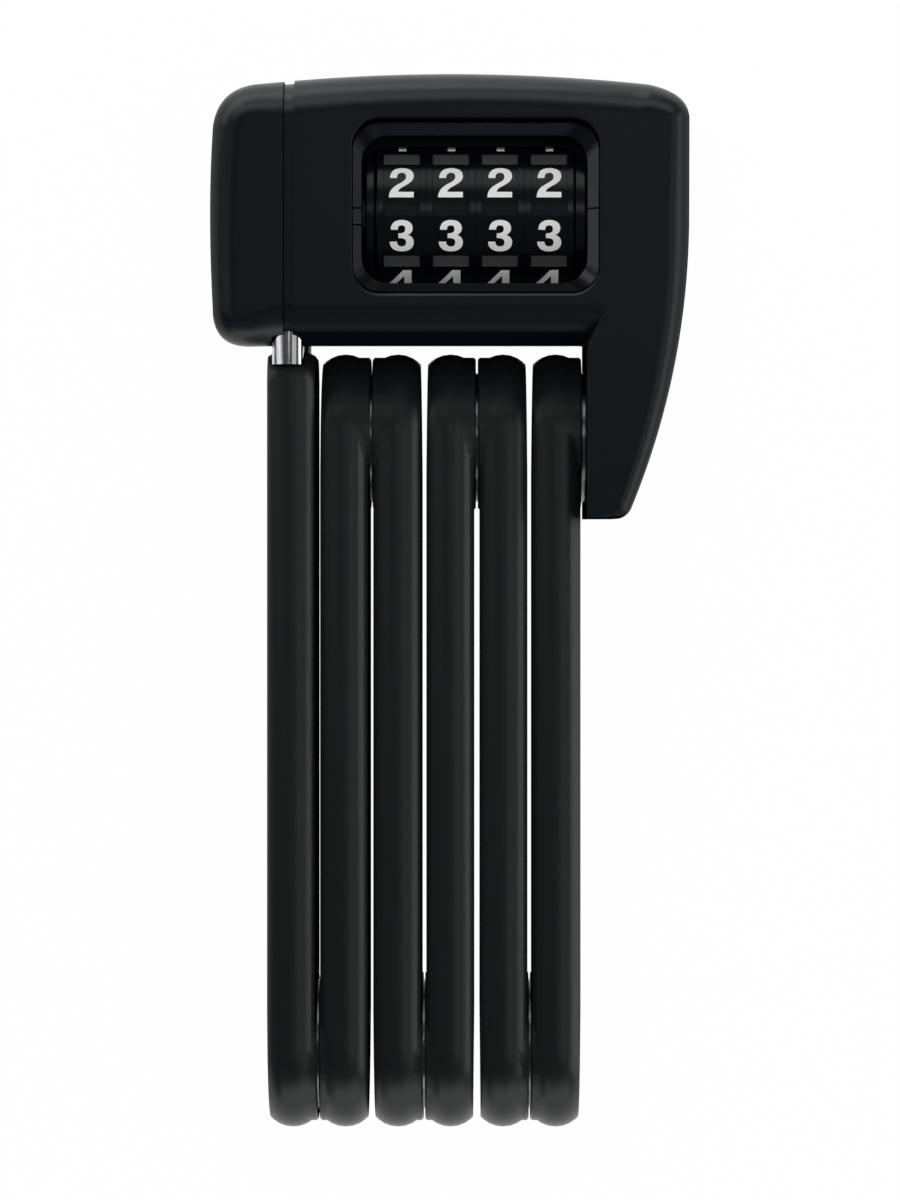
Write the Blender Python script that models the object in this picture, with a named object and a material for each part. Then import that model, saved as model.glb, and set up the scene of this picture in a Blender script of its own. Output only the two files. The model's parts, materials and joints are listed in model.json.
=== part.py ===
"""Folding bike lock, folded and lying on its back: a lock body with four number dials and six hinged bars.

X runs to the right across the folded bars, Y along the bars towards the lock body and Z out of the dials.
Z is zero at the flat back of the lock body. Sizes below are in millimetres and are scaled once, by MM.
"""

import math
from collections import namedtuple

import bmesh
import bpy
from mathutils import Matrix, Vector

MM = 0.001
GAP = 0.3
OVERSHOOT = 1.0
MID_Z = 17.0
ROUND = 14
SHARP = math.radians(32)

# Bars, numbered from the leg of the lock body to the bar that carries the pin
BAR_COUNT = 6
BAR_PITCH = 8.47
FIRST_BAR_X = 17.05
HINGE_TOP_Y = 26.3
HINGE_BOTTOM_Y = -71.7
JACKET_THICK = 7.65
JACKET_RADIUS = 13.2
JACKET_CROWN = 4.9
JACKET_RINGS = 5
JACKET_STEPS = 12
BOSS_FACE = 4.085
BOSS_RADIUS = 12.7
BOSS_REACH = 11.7
BOSS_EDGE = 0.3
BOSS_STEPS = 24
END_TAPER = 0.35
END_TAPER_REACH = 6.0
CORE_THICK = 5.0
CORE_EYE_RADIUS = 8.5
CORE_SHANK_HALF = 5.5
CORE_STEPS = 5
LAST_CORE_TOP_Y = 10.0
LAST_JACKET_TOP_Y = 40.0
LAST_JACKET_CORNER = 4.7

# Hinges
RIVET_RADIUS = 3.0
RIVET_HEAD_RADIUS = 5.0
RIVET_HEAD_THICK = 0.75
RIVET_HEAD_CHAMFER = 0.35
HEAD_ROOM = 0.4
RIVET_HOLE_RADIUS = RIVET_RADIUS + GAP
HEAD_POCKET_RADIUS = RIVET_HEAD_RADIUS + HEAD_ROOM
SPACER_RADIUS = 10.4
SPACER_POCKET_RADIUS = SPACER_RADIUS + GAP

# Pin on the last bar and the socket that takes it
PIN_RADIUS = 2.9
PIN_TIP_Y = 68.5
PIN_TIP_CHAMFER = 1.2
PIN_TANG_TOP_Y = 34.0
PIN_FIT = 0.15
NOTCH_HALF = 2.6
NOTCH_DEPTH = 2.05
SHOULDER_HALF = 12.4
SHOULDER_Y = (36.6, 43.2)
SHOULDER_STEPS = 5
SOCKET_RADIUS = 3.5
SOCKET_MOUTH_RADIUS = 4.6
SOCKET_MOUTH_DEPTH = 1.2
ARCH_HALF = 2.7
ARCH_Y = (41.8, 42.8)
BUSH_INNER_RADIUS = 3.3
BUSH_OUTER_RADIUS = 5.2
BUSH_TOP_Y = 70.0

# Lock body
BODY_DEPTH = 34.0
UNDERSIDE_Y = 40.9
UNDERSIDE_RISE = 1.2
RISE_REACH = 6.6
LEG_LEFT_X = 21.7
LEG_BOTTOM_Y = 13.2
FILLET_STEPS = 5
SEAM_X = -26.5
SEAM_GAP = 0.15
BAND_WIDTH = 1.55
BAND_DEPTH = 0.45
WINDOW_CENTRE = (4.2, 62.2)
WINDOW_SIZE = (39.9, 28.5)
WINDOW_CORNER = 4.5
OPENING_CENTRE = (3.85, 62.0)
OPENING_SIZE = (35.9, 23.4)
OPENING_CORNER = 3.0
OPENING_Z = 30.9
FRAME_TOP_Z = 33.85
# The share of the way in from window to opening, and a drop below the top or a rise above the opening
FRAME_LIP = (0.18, 0.4)
FRAME_STEP = (0.62, 1.3)
CORNER_STEPS = 4

# Steel case inside the lock body
CASE_BACK_Z = 7.0
CASE_FRONT_Z = 27.0
CASE_BOTTOM_Y = 44.2
CASE_OUTLINE = [(23.2, 15.5), (27.2, 15.5), (27.2, 77.7), (24.7, 80.2), (-29.5, 80.2), (-33.0, 76.7),
                (-33.0, CASE_BOTTOM_Y), (23.2, CASE_BOTTOM_Y)]
HINGE_PLATE = (23.2, 27.2)
BAY_X = (-14.0, 22.0)
BAY_Y = (48.2, 76.2)
BAY_FLOOR_Z = 2.2

# Number dials and the code mechanism, all on one axis along X
DIAL_Y = 62.2
DIAL_X = [-7.65, 0.18, 8.01, 15.84]
DIAL_RADIUS = 13.7
DIAL_HALF_WIDTH = 3.765
DIAL_EDGE = 0.25
DIAL_STEPS = 30
BAND_HALF_WIDTH = 2.85
DIGITS = 10
GROOVE_WIDTH = 2.1
GROOVE_DEPTH = 0.8
COLLAR_X = [(-13.4, -11.9), (20.05, 21.6)]
COLLAR_RADIUS = 13.5
COLLAR_STEPS = 22
CODE_RADIUS = 9.0
CODE_HALF_WIDTH = 3.7
CODE_BORE_RADIUS = 6.8
LIP_RADIUS = 5.3
LIP_HALF_WIDTH = 0.5
GATE_HALF_WIDTH = 1.3
SLEEVE_X = (-15.8, 24.0)
SLEEVE_RADIUS = 5.0
SLEEVE_BORE_RADIUS = 3.6
SPINDLE_X = (-21.6, 18.2)
SPINDLE_SHOULDER_X = -13.2
SPINDLE_RADIUS = 3.2
NOSE_RADIUS = 2.0
NOSE_CHAMFER = 0.5
FIN_FROM = 0.85
FIN_TO = 1.65
FIN_HALF_WIDTH = 1.0
FIN_REACH = 6.4
SPRING_X = (18.9, 23.4)
SPRING_RADIUS = 2.7
SPRING_WIRE = 0.3
SPRING_TURNS = 4
SPRING_STEPS = 8
WIRE_SIDES = 5
LEAF_Z = (2.5, 2.9)
LEAF_FOOT_X = (-13.0, 21.0)
LEAF_FOOT_Y = (48.6, 51.6)
LEAF_TIP_Y = 64.0
LEAF_HALF_WIDTH = 1.8

MATERIALS = {
    "housing_plastic": ((0.012, 0.014, 0.016), 0.0, 0.42),
    "bar_coating": ((0.020, 0.021, 0.022), 0.0, 0.50),
    "dial_plastic": ((0.010, 0.011, 0.012), 0.0, 0.30),
    "chrome": ((0.75, 0.75, 0.76), 1.0, 0.08),
    "steel": ((0.45, 0.45, 0.46), 1.0, 0.35),
    "case_steel": ((0.40, 0.41, 0.42), 1.0, 0.45),
    "brass": ((0.60, 0.45, 0.18), 1.0, 0.35),
    "spring_steel": ((0.55, 0.56, 0.58), 1.0, 0.25),
}

Axis = namedtuple("Axis", "empty point")


def clear_scene():
    for item in list(bpy.data.objects):
        bpy.data.objects.remove(item, do_unlink=True)


def make_material(node, kind):
    colour, metallic, roughness = MATERIALS[kind]
    material = bpy.data.materials.new(f"{kind}_{node}")
    material.use_nodes = True
    shader = material.node_tree.nodes["Principled BSDF"]
    shader.inputs["Base Color"].default_value = (*colour, 1.0)
    shader.inputs["Metallic"].default_value = metallic
    shader.inputs["Roughness"].default_value = roughness
    return material


def link(name, data, point, parent):
    """A new object at a point in millimetres, placed from its parent axis if it has one."""
    made = bpy.data.objects.new(name, data)
    bpy.context.scene.collection.objects.link(made)
    made.parent = parent.empty if parent else None
    made.location = (Vector(point) - (parent.point if parent else Vector())) * MM
    return made


def make_axis(name, point, parent=None):
    """An empty on a joint's axis, which carries the pieces that turn or slide on it."""
    empty = link(name, None, point, parent)
    empty.empty_display_size = JACKET_RADIUS * MM
    return Axis(empty, Vector(point))


def make_object(name, shape, parent=None):
    """An object from a bmesh in millimetres, with its origin on its parent axis."""
    point = parent.point if parent else Vector()
    bmesh.ops.recalc_face_normals(shape, faces=shape.faces)
    bmesh.ops.translate(shape, vec=-point, verts=shape.verts)
    bmesh.ops.scale(shape, vec=(MM, MM, MM), verts=shape.verts)
    mesh = bpy.data.meshes.new(name)
    shape.to_mesh(mesh)
    shape.free()
    return link(name, mesh, point, parent)


def make_piece(name, kind, shape, parent=None):
    made = make_object(name, shape, parent)
    made.data.materials.append(make_material(name, kind))
    return made


def combine(target, shape, operation="DIFFERENCE"):
    """Cuts a shape from the target, joins it on or keeps what they share, and returns the hidden tool."""
    tool = make_object(f"tool_{target.name}_{len(target.modifiers) + 1}", shape)
    tool.hide_render = True
    tool.display_type = "WIRE"
    modifier = target.modifiers.new(tool.name, "BOOLEAN")
    modifier.operation = operation
    modifier.solver = "EXACT"
    modifier.object = tool
    return tool


def settle_pieces():
    """Applies each piece's cuts and joins, removes their tools and shades the round faces smooth."""
    graph = bpy.context.evaluated_depsgraph_get()
    pieces = [item for item in bpy.data.objects if item.type == "MESH" and not item.hide_render]
    meshes = [bpy.data.meshes.new_from_object(piece.evaluated_get(graph)) for piece in pieces]
    for piece, mesh in zip(pieces, meshes):
        piece.modifiers.clear()
        piece.data = mesh
        mesh.name = piece.name
        mesh.shade_smooth()
        mesh.set_sharp_from_angle(angle=SHARP)
    for tool in [item for item in bpy.data.objects if item.hide_render]:
        bpy.data.objects.remove(tool, do_unlink=True)


def loft(rings, closed=False):
    """Joins rings of equal point count, with a cap at each end or, if closed, from the last to the first."""
    bm = bmesh.new()
    loops = [[bm.verts.new(p) for p in ring] for ring in rings]
    for low, high in zip(loops, loops[1:] + loops[:1] if closed else loops[1:]):
        for i in range(len(low)):
            bm.faces.new((low[i - 1], low[i], high[i], high[i - 1]))
    if not closed:
        bm.faces.new(loops[0])
        bm.faces.new(loops[-1])
    return bm


def prism(outline, reach):
    """Extrudes a flat outline of 3D points along a vector."""
    bm = bmesh.new()
    face = bm.faces.new([bm.verts.new(p) for p in outline])
    moved = bmesh.ops.extrude_face_region(bm, geom=[face])["geom"]
    bmesh.ops.translate(bm, vec=reach, verts=[v for v in moved if isinstance(v, bmesh.types.BMVert)])
    return bm


def blocks(*boxes):
    """One or more boxes, each between the two values given for every axis."""
    bm = bmesh.new()
    for box in boxes:
        middle = Vector([(low + high) / 2 for low, high in box])
        size = Matrix.Diagonal([high - low for low, high in box] + [1.0])
        bmesh.ops.create_cube(bm, size=1.0, matrix=Matrix.Translation(middle) @ size)
    return bm


def turned(stations, axis, centre, steps=ROUND, closed=False):
    """Spins (position along the axis, radius) stations; the centre gives the other two coordinates."""
    bm = bmesh.new()
    if not closed:
        stations = [(stations[0][0], 0.0), *stations, (stations[-1][0], 0.0)]
    if axis == "X":
        line, middle = Vector((1.0, 0.0, 0.0)), Vector((0.0, *centre))
        profile = [bm.verts.new(middle + Vector((along, radius, 0.0))) for along, radius in stations]
    else:
        line, middle = Vector((0.0, 1.0, 0.0)), Vector((centre[0], 0.0, centre[1]))
        profile = [bm.verts.new(middle + Vector((radius, along, 0.0))) for along, radius in stations]
    edges = [bm.edges.new(pair) for pair in zip(profile, profile[1:])]
    if closed:
        edges.append(bm.edges.new((profile[-1], profile[0])))
    bmesh.ops.spin(bm, geom=profile + edges, cent=middle, axis=line, angle=math.tau, steps=steps,
                   use_merge=True)
    bmesh.ops.remove_doubles(bm, verts=bm.verts, dist=1e-4)
    half_step = Matrix.Rotation(math.pi / steps, 3, line)
    bmesh.ops.rotate(bm, cent=middle, matrix=half_step, verts=bm.verts)
    return bm


def bore(x, radius, y, steps=ROUND):
    """A round cutter along X at the middle depth."""
    return turned([(x[0], radius), (x[1], radius)], "X", (y, MID_Z), steps)


def bezier(start, bend, end, steps):
    """Points of a quadratic curve, without its last one."""
    curve = []
    for i in range(steps):
        t = i / steps
        curve.append(tuple((1 - t) ** 2 * a + 2 * t * (1 - t) * b + t * t * c
                           for a, b, c in zip(start, bend, end)))
    return curve


def rounded_rectangle(centre, size, corner, steps=CORNER_STEPS):
    points = []
    for quarter, (sx, sy) in enumerate([(1, 1), (-1, 1), (-1, -1), (1, -1)]):
        for i in range(steps + 1):
            angle = math.pi / 2 * (quarter + i / steps)
            points.append((centre[0] + sx * (size[0] / 2 - corner) + corner * math.cos(angle),
                           centre[1] + sy * (size[1] / 2 - corner) + corner * math.sin(angle)))
    return points


def inward(outline):
    """For each point of a counterclockwise outline, the step that moves both of its sides in by one."""
    steps = []
    for i, (x, y) in enumerate(outline):
        normals = []
        for (x0, y0), (x1, y1) in ((outline[i - 1], (x, y)), ((x, y), outline[(i + 1) % len(outline)])):
            length = math.hypot(x1 - x0, y1 - y0)
            normals.append((-(y1 - y0) / length, (x1 - x0) / length))
        (ax, ay), (bx, by) = normals
        share = 1 + ax * bx + ay * by
        steps.append(((ax + bx) / share, (ay + by) / share))
    return steps


def body_outline():
    """The lock body seen from the front, counterclockwise, and the fillet radius at each of its points."""
    under_left, side_low, side_high = (-32.0, UNDERSIDE_Y), (-37.8, 46.2), (-37.55, 75.5)
    top_left, top_right, brow = (-30.3, 82.35), (31.0, 82.3), (38.05, 76.8)
    flank, heel, sole = (38.05, 61.0), (28.7, 14.6), (26.3, LEG_BOTTOM_Y)
    corner = (LEG_LEFT_X, UNDERSIDE_Y)
    # Each run goes from its start to the next run's start, with its bend, steps, first and last fillet
    runs = [
        (under_left, None, 2, 3.4, 6.5), ((-24.0, UNDERSIDE_Y), None, 2, 6.5, 6.5),
        ((14.0, UNDERSIDE_Y), None, 1, 6.5, 5.0),
        (corner, None, 1, 4.0, 2.0), ((LEG_LEFT_X, 38.5), None, 1, 2.0, 0.8),
        ((LEG_LEFT_X, 34.0), None, 1, 0.6, 0.6), ((LEG_LEFT_X, LEG_BOTTOM_Y), None, 1, 0.6, 1.2),
        (sole, (27.8, LEG_BOTTOM_Y), 3, 1.5, 2.0), (heel, (37.8, 36.5), 10, 2.4, 4.0),
        (flank, None, 3, 4.0, 3.6), (brow, (37.9, 81.0), 6, 3.6, 5.2),
        (top_right, (0.0, 85.5), 10, 5.6, 6.4), (top_left, (-36.6, 81.7), 8, 6.0, 4.8),
        (side_high, (-38.75, 62.0), 6, 4.8, 4.0), (side_low, (-37.9, 40.6), 7, 3.8, 3.4),
    ]
    points, radii = [], []
    for i, (start, bend, steps, first, last) in enumerate(runs):
        end = runs[(i + 1) % len(runs)][0]
        middle = bend or tuple((a + b) / 2 for a, b in zip(start, end))
        points += bezier(start, middle, end, steps)
        radii += [first + (last - first) * j / steps for j in range(steps)]
    return points, radii


def rear_lift(x, y):
    """How much higher a point of the outline lies at the back, where the underside slopes up."""
    if x > LEG_LEFT_X or y < UNDERSIDE_Y - GAP:
        return 0.0
    return UNDERSIDE_RISE * max(0.0, 1 - (y - UNDERSIDE_Y) / RISE_REACH)


def body_shape(shrink=0.0):
    """The filled outer shape of the lock body, from its back to its front, all moved in by shrink."""
    outline, radii = body_outline()
    lifts = [rear_lift(x, y) for x, y in outline]
    rings = []
    for i in range(FILLET_STEPS + 1):
        turn = math.pi / 2 * i / FILLET_STEPS
        ring = []
        for (x, y), (dx, dy), radius in zip(outline, inward(outline), radii):
            inset = shrink + radius * (1 - math.cos(turn))
            ring.append((x + dx * inset, y + dy * inset, BODY_DEPTH - shrink - radius * (1 - math.sin(turn))))
        rings.append(ring)
    mirrored = [[(x, y + lift, BODY_DEPTH - z) for (x, y, z), lift in zip(ring, lifts)] for ring in rings]
    return loft(mirrored[::-1] + rings)


def case_shape(clear=0.0):
    """The steel case before its holes, or the pocket that takes it with some clearance."""
    outline = [(x - dx * clear, y - dy * clear) for (x, y), (dx, dy) in zip(CASE_OUTLINE, inward(CASE_OUTLINE))]
    height = CASE_FRONT_Z - CASE_BACK_Z + 2 * clear
    return prism([(*p, CASE_BACK_Z - clear) for p in outline], (0, 0, height))


def socket_shape():
    """The hole for the pin through the underside, with its wide mouth."""
    flare = (SOCKET_MOUTH_RADIUS - SOCKET_RADIUS) / SOCKET_MOUTH_DEPTH
    stations = [(UNDERSIDE_Y - OVERSHOOT, SOCKET_MOUTH_RADIUS + flare * OVERSHOOT),
                (UNDERSIDE_Y + SOCKET_MOUTH_DEPTH, SOCKET_RADIUS), (CASE_BOTTOM_Y + OVERSHOOT, SOCKET_RADIUS)]
    return turned(stations, "Y", (bar_x(BAR_COUNT), MID_Z))


def shoulder_shape(clear, low, high):
    """The flat shoulder of the pin, round at its front and back, or a slot for it with some clearance."""
    x, radius, reach = bar_x(BAR_COUNT), CORE_THICK / 2 + clear, SHOULDER_HALF - CORE_THICK / 2
    outline = []
    for side in (1, -1):
        for i in range(SHOULDER_STEPS + 1):
            angle = math.pi * i / SHOULDER_STEPS
            outline.append((x + side * radius * math.cos(angle), low,
                            MID_Z + side * (reach + radius * math.sin(angle))))
    return prism(outline, (0, high - low, 0))


def arch_shape():
    """The arch in the front edge of the underside, through which the pin's shoulder shows."""
    x, low, (side, top) = bar_x(BAR_COUNT), UNDERSIDE_Y - OVERSHOOT, ARCH_Y
    outline = [(x - ARCH_HALF, low, MID_Z), (x + ARCH_HALF, low, MID_Z)]
    for i in range(SHOULDER_STEPS + 1):
        angle = math.pi * i / SHOULDER_STEPS
        outline.append((x + ARCH_HALF * math.cos(angle), side + (top - side) * math.sin(angle), MID_Z))
    return prism(outline, (0, 0, BODY_DEPTH))


def bar_x(number):
    return FIRST_BAR_X - BAR_PITCH * (number - 1)


def bar_ends(number):
    """The heights of a bar's hinge to the piece on its right and of its other end."""
    return (HINGE_TOP_Y, HINGE_BOTTOM_Y) if number % 2 else (HINGE_BOTTOM_Y, HINGE_TOP_Y)


def make_covers():
    """The front and rear covers, which meet at the middle depth, and the cap that closes their left end."""
    all_y, right = (0.0, 3 * BODY_DEPTH), 2 * BODY_DEPTH
    regions = {
        "front_cover": ((SEAM_X, right), all_y, (MID_Z + GAP / 2, right)),
        "rear_cover": ((SEAM_X, right), all_y, (-BODY_DEPTH, MID_Z - GAP / 2)),
        "end_cap": ((-right, SEAM_X - SEAM_GAP), all_y, (-BODY_DEPTH, right)),
    }
    for name, region in regions.items():
        cover = make_piece(name, "housing_plastic", body_shape())
        combine(cover, blocks(region), "INTERSECT")
        combine(cover, case_shape(GAP))
        combine(cover, socket_shape())
        combine(cover, shoulder_shape(PIN_FIT, UNDERSIDE_Y - OVERSHOOT, CASE_BOTTOM_Y - GAP / 2))
        if name != "rear_cover":
            combine(cover, arch_shape())
        if name == "end_cap":
            continue
        band = combine(cover, blocks(((SEAM_X - OVERSHOOT, SEAM_X + BAND_WIDTH), all_y, (-BODY_DEPTH, right))))
        combine(band, body_shape(BAND_DEPTH))
        wall = (LEG_LEFT_X - OVERSHOOT, HINGE_PLATE[0] + OVERSHOOT)
        combine(cover, bore(wall, SPACER_POCKET_RADIUS, HINGE_TOP_Y))
        head_room = HINGE_PLATE[1] + 2 * GAP + RIVET_HEAD_THICK
        combine(cover, bore((HINGE_PLATE[1] - OVERSHOOT, head_room), HEAD_POCKET_RADIUS, HINGE_TOP_Y))
        if name == "front_cover":
            hole = rounded_rectangle(WINDOW_CENTRE, [s + 2 * GAP for s in WINDOW_SIZE], WINDOW_CORNER + GAP)
            combine(cover, prism([(*p, CASE_FRONT_Z - OVERSHOOT) for p in hole], (0, 0, BODY_DEPTH)))
        else:
            bay = [(low - GAP, high + GAP) for low, high in (BAY_X, BAY_Y)]
            combine(cover, blocks((*bay, (BAY_FLOOR_Z, MID_Z))))


def make_dial_frame():
    """The insert round the number window: a lip, a slope and a narrower opening over the dials."""
    def ring(share, z):
        centre = [a + (b - a) * share for a, b in zip(WINDOW_CENTRE, OPENING_CENTRE)]
        size = [a + (b - a) * share for a, b in zip(WINDOW_SIZE, OPENING_SIZE)]
        corner = WINDOW_CORNER + (OPENING_CORNER - WINDOW_CORNER) * share
        return [(*p, z) for p in rounded_rectangle(centre, size, corner)]

    foot = CASE_FRONT_Z + GAP
    (lip, lip_drop), (step, step_rise) = FRAME_LIP, FRAME_STEP
    rings = [ring(0, foot), ring(0, FRAME_TOP_Z - lip_drop), ring(lip, FRAME_TOP_Z),
             ring(step, OPENING_Z + step_rise), ring(1, OPENING_Z), ring(1, foot)]
    make_piece("dial_frame", "housing_plastic", loft(rings, closed=True))


def make_case():
    """The steel case with its hinge plate, and the bush that takes the pin."""
    case = make_piece("lock_case", "case_steel", case_shape())
    combine(case, blocks((BAY_X, BAY_Y, (CASE_BACK_Z - OVERSHOOT, CASE_FRONT_Z + OVERSHOOT))))
    seat, socket = SLEEVE_RADIUS + GAP, BUSH_OUTER_RADIUS + GAP
    x = bar_x(BAR_COUNT)
    combine(case, turned([(CASE_BOTTOM_Y - OVERSHOOT, socket), (BUSH_TOP_Y + GAP, socket)], "Y", (x, MID_Z)))
    combine(case, bore((SLEEVE_X[0] - GAP, BAY_X[0] + OVERSHOOT), seat, DIAL_Y))
    combine(case, bore((BAY_X[1] - OVERSHOOT, SLEEVE_X[1] + GAP), seat, DIAL_Y))
    combine(case, bore((x, BAY_X[0] - OVERSHOOT), NOSE_RADIUS + GAP, DIAL_Y))
    plate = (HINGE_PLATE[0] - OVERSHOOT, HINGE_PLATE[1] + OVERSHOOT)
    combine(case, bore(plate, RIVET_HOLE_RADIUS, HINGE_TOP_Y))
    bush = make_piece("socket_bush", "steel", tube((CASE_BOTTOM_Y, BUSH_TOP_Y), BUSH_INNER_RADIUS,
                                                   BUSH_OUTER_RADIUS, "Y", (x, MID_Z)))
    combine(bush, bore((x, x + 2 * BUSH_OUTER_RADIUS), NOSE_RADIUS + GAP, DIAL_Y))


def make_dials():
    """Number rings with their grooves and, inside them, code rings with a gate cut in the lip."""
    centre = (DIAL_Y, MID_Z)
    for number, x in enumerate(DIAL_X, 1):
        axis = make_axis(f"dial_{number}_axis", (x, *centre))
        low, high = x - DIAL_HALF_WIDTH, x + DIAL_HALF_WIDTH
        inner, edge = CODE_RADIUS + GAP, DIAL_RADIUS - DIAL_EDGE
        profile = [(low, inner), (low, edge), (low + DIAL_EDGE, DIAL_RADIUS), (high - DIAL_EDGE, DIAL_RADIUS),
                   (high, edge), (high, inner)]
        ring = make_piece(f"number_ring_{number}", "dial_plastic",
                          turned(profile, "X", centre, DIAL_STEPS, closed=True), axis)
        combine(ring, grooves(x))
        ends, lip = [[x - half, x + half] for half in (CODE_HALF_WIDTH, LIP_HALF_WIDTH)]
        profile = [(ends[0], CODE_BORE_RADIUS), (ends[0], CODE_RADIUS), (ends[1], CODE_RADIUS),
                   (ends[1], CODE_BORE_RADIUS), (lip[1], CODE_BORE_RADIUS), (lip[1], LIP_RADIUS),
                   (lip[0], LIP_RADIUS), (lip[0], CODE_BORE_RADIUS)]
        code = make_piece(f"code_ring_{number}", "brass", turned(profile, "X", centre, closed=True), axis)
        gate = (MID_Z - CODE_BORE_RADIUS, MID_Z)
        combine(code, blocks(((lip[0] - OVERSHOOT, lip[1] + OVERSHOOT), around(DIAL_Y, GATE_HALF_WIDTH), gate)))
    for side, span in zip(("left", "right"), COLLAR_X):
        make_piece(f"dial_collar_{side}", "dial_plastic",
                   tube(span, LIP_RADIUS, COLLAR_RADIUS, "X", centre, COLLAR_STEPS))


def around(middle, half):
    return middle - half, middle + half


def tube(span, inner, outer, axis, centre, steps=ROUND):
    wall = [(span[0], inner), (span[0], outer), (span[1], outer), (span[1], inner)]
    return turned(wall, axis, centre, steps, closed=True)


def grooves(x):
    """The cutters for the grooves between a dial's numbers, one of them facing straight to the front."""
    floor, top = DIAL_RADIUS - GROOVE_DEPTH, DIAL_RADIUS + OVERSHOOT
    bm = blocks(*[(around(x, BAND_HALF_WIDTH), around(0.0, GROOVE_WIDTH / 2), (floor, top))] * DIGITS)
    for i in range(DIGITS):
        corners = bm.verts[8 * i:8 * i + 8]
        bmesh.ops.rotate(bm, verts=corners, matrix=Matrix.Rotation(math.tau * i / DIGITS, 3, "X"))
    bmesh.ops.translate(bm, vec=(0.0, DIAL_Y, MID_Z), verts=bm.verts)
    return bm


def make_mechanism():
    """The slotted sleeve, the latch spindle that slides in it, its spring and the leaf spring of the dials."""
    centre = (DIAL_Y, MID_Z)
    sleeve = make_piece("dial_sleeve", "steel", tube(SLEEVE_X, SLEEVE_BORE_RADIUS, SLEEVE_RADIUS, "X", centre))
    slot = (DIAL_X[0] - 2 * FIN_TO, DIAL_X[-1] + 2 * FIN_TO)
    combine(sleeve, blocks((slot, around(DIAL_Y, GATE_HALF_WIDTH), (MID_Z - 2 * SLEEVE_RADIUS, MID_Z))))

    axis = make_axis("latch_axis", (0.0, *centre))
    tip, end = SPINDLE_X
    stations = [(tip, NOSE_RADIUS - NOSE_CHAMFER), (tip + NOSE_CHAMFER, NOSE_RADIUS),
                (SPINDLE_SHOULDER_X, NOSE_RADIUS), (SPINDLE_SHOULDER_X, SPINDLE_RADIUS), (end, SPINDLE_RADIUS)]
    spindle = make_piece("latch_spindle", "steel", turned(stations, "X", centre), axis)
    reach = (MID_Z - FIN_REACH, MID_Z - SPINDLE_RADIUS / 2)
    fins = [((x + FIN_FROM, x + FIN_TO), around(DIAL_Y, FIN_HALF_WIDTH), reach) for x in DIAL_X]
    combine(spindle, blocks(*fins), "UNION")

    make_piece("latch_spring", "spring_steel", coil())
    foot = (LEAF_FOOT_X, LEAF_FOOT_Y, LEAF_Z)
    leaves = make_piece("detent_spring", "spring_steel", blocks(foot))
    tongues = [(around(x, LEAF_HALF_WIDTH), (LEAF_FOOT_Y[1] - OVERSHOOT, LEAF_TIP_Y), LEAF_Z) for x in DIAL_X]
    combine(leaves, blocks(*tongues), "UNION")


def coil():
    """The latch spring as one tube; the gap between its turns is the pitch less the wire."""
    rings = []
    total = SPRING_TURNS * SPRING_STEPS
    for i in range(total + 1):
        angle = math.tau * i / SPRING_STEPS
        x = SPRING_X[0] + (SPRING_X[1] - SPRING_X[0]) * i / total
        ring = []
        for j in range(WIRE_SIDES):
            turn = math.tau * j / WIRE_SIDES
            reach = SPRING_RADIUS + SPRING_WIRE * math.cos(turn)
            ring.append((x + SPRING_WIRE * math.sin(turn), DIAL_Y + reach * math.cos(angle),
                         MID_Z + reach * math.sin(angle)))
        rings.append(ring)
    print(f"latch_spring gap {(SPRING_X[1] - SPRING_X[0]) / SPRING_TURNS - 2 * SPRING_WIRE:.2f} mm")
    return loft(rings)


def arc(centre, radius, start, sweep, steps):
    """Points in Y and Z on an arc, by angles from +Z towards +Y."""
    angles = [start + sweep * i / steps for i in range(steps + 1)]
    return [(centre[0] + radius * math.sin(a), centre[1] + radius * math.cos(a)) for a in angles]


def jacket_outline(number, inset):
    """A coated bar seen from the side: round at its hinges, and square with soft corners at the pin."""
    radius = JACKET_RADIUS - inset
    lower = arc((HINGE_BOTTOM_Y, MID_Z), radius, math.pi, math.pi, JACKET_STEPS)
    if number < BAR_COUNT:
        return lower + arc((HINGE_TOP_Y, MID_Z), radius, 0.0, math.pi, JACKET_STEPS)
    corner, half = LAST_JACKET_CORNER, JACKET_STEPS // 2
    y = LAST_JACKET_TOP_Y - inset / 2 - corner
    return (lower + arc((y, MID_Z + radius - corner), corner, 0.0, math.pi / 2, half)
            + arc((y, MID_Z - radius + corner), corner, math.pi / 2, math.pi / 2, half))


def jacket_shape(number):
    """A coated bar, widest in the middle of its thickness and crowned towards both faces."""
    rings = []
    for i in range(JACKET_RINGS):
        offset = JACKET_THICK / 2 * math.sin(math.pi / 2 * (2 * i / (JACKET_RINGS - 1) - 1))
        inset = JACKET_CROWN - math.sqrt(JACKET_CROWN ** 2 - offset ** 2)
        rings.append([(bar_x(number) + offset, *p) for p in jacket_outline(number, inset)])
    return loft(rings)


def boss_shape(x, y, side):
    """A hinge boss on a bar's side: round towards the bar's end and flatter towards its middle."""
    out = math.copysign(1.0, y)
    rings = []
    for offset, inset in ((0.0, 0.0), (BOSS_FACE - BOSS_EDGE, 0.0), (BOSS_FACE, BOSS_EDGE)):
        ring = []
        for i in range(BOSS_STEPS):
            angle = math.tau * i / BOSS_STEPS
            reach = BOSS_RADIUS if math.cos(angle) > 0 else BOSS_REACH
            ring.append((x + side * offset, y + out * (reach - inset) * math.cos(angle),
                         MID_Z + (BOSS_RADIUS - inset) * math.sin(angle)))
        rings.append(ring)
    return loft(rings)


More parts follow.
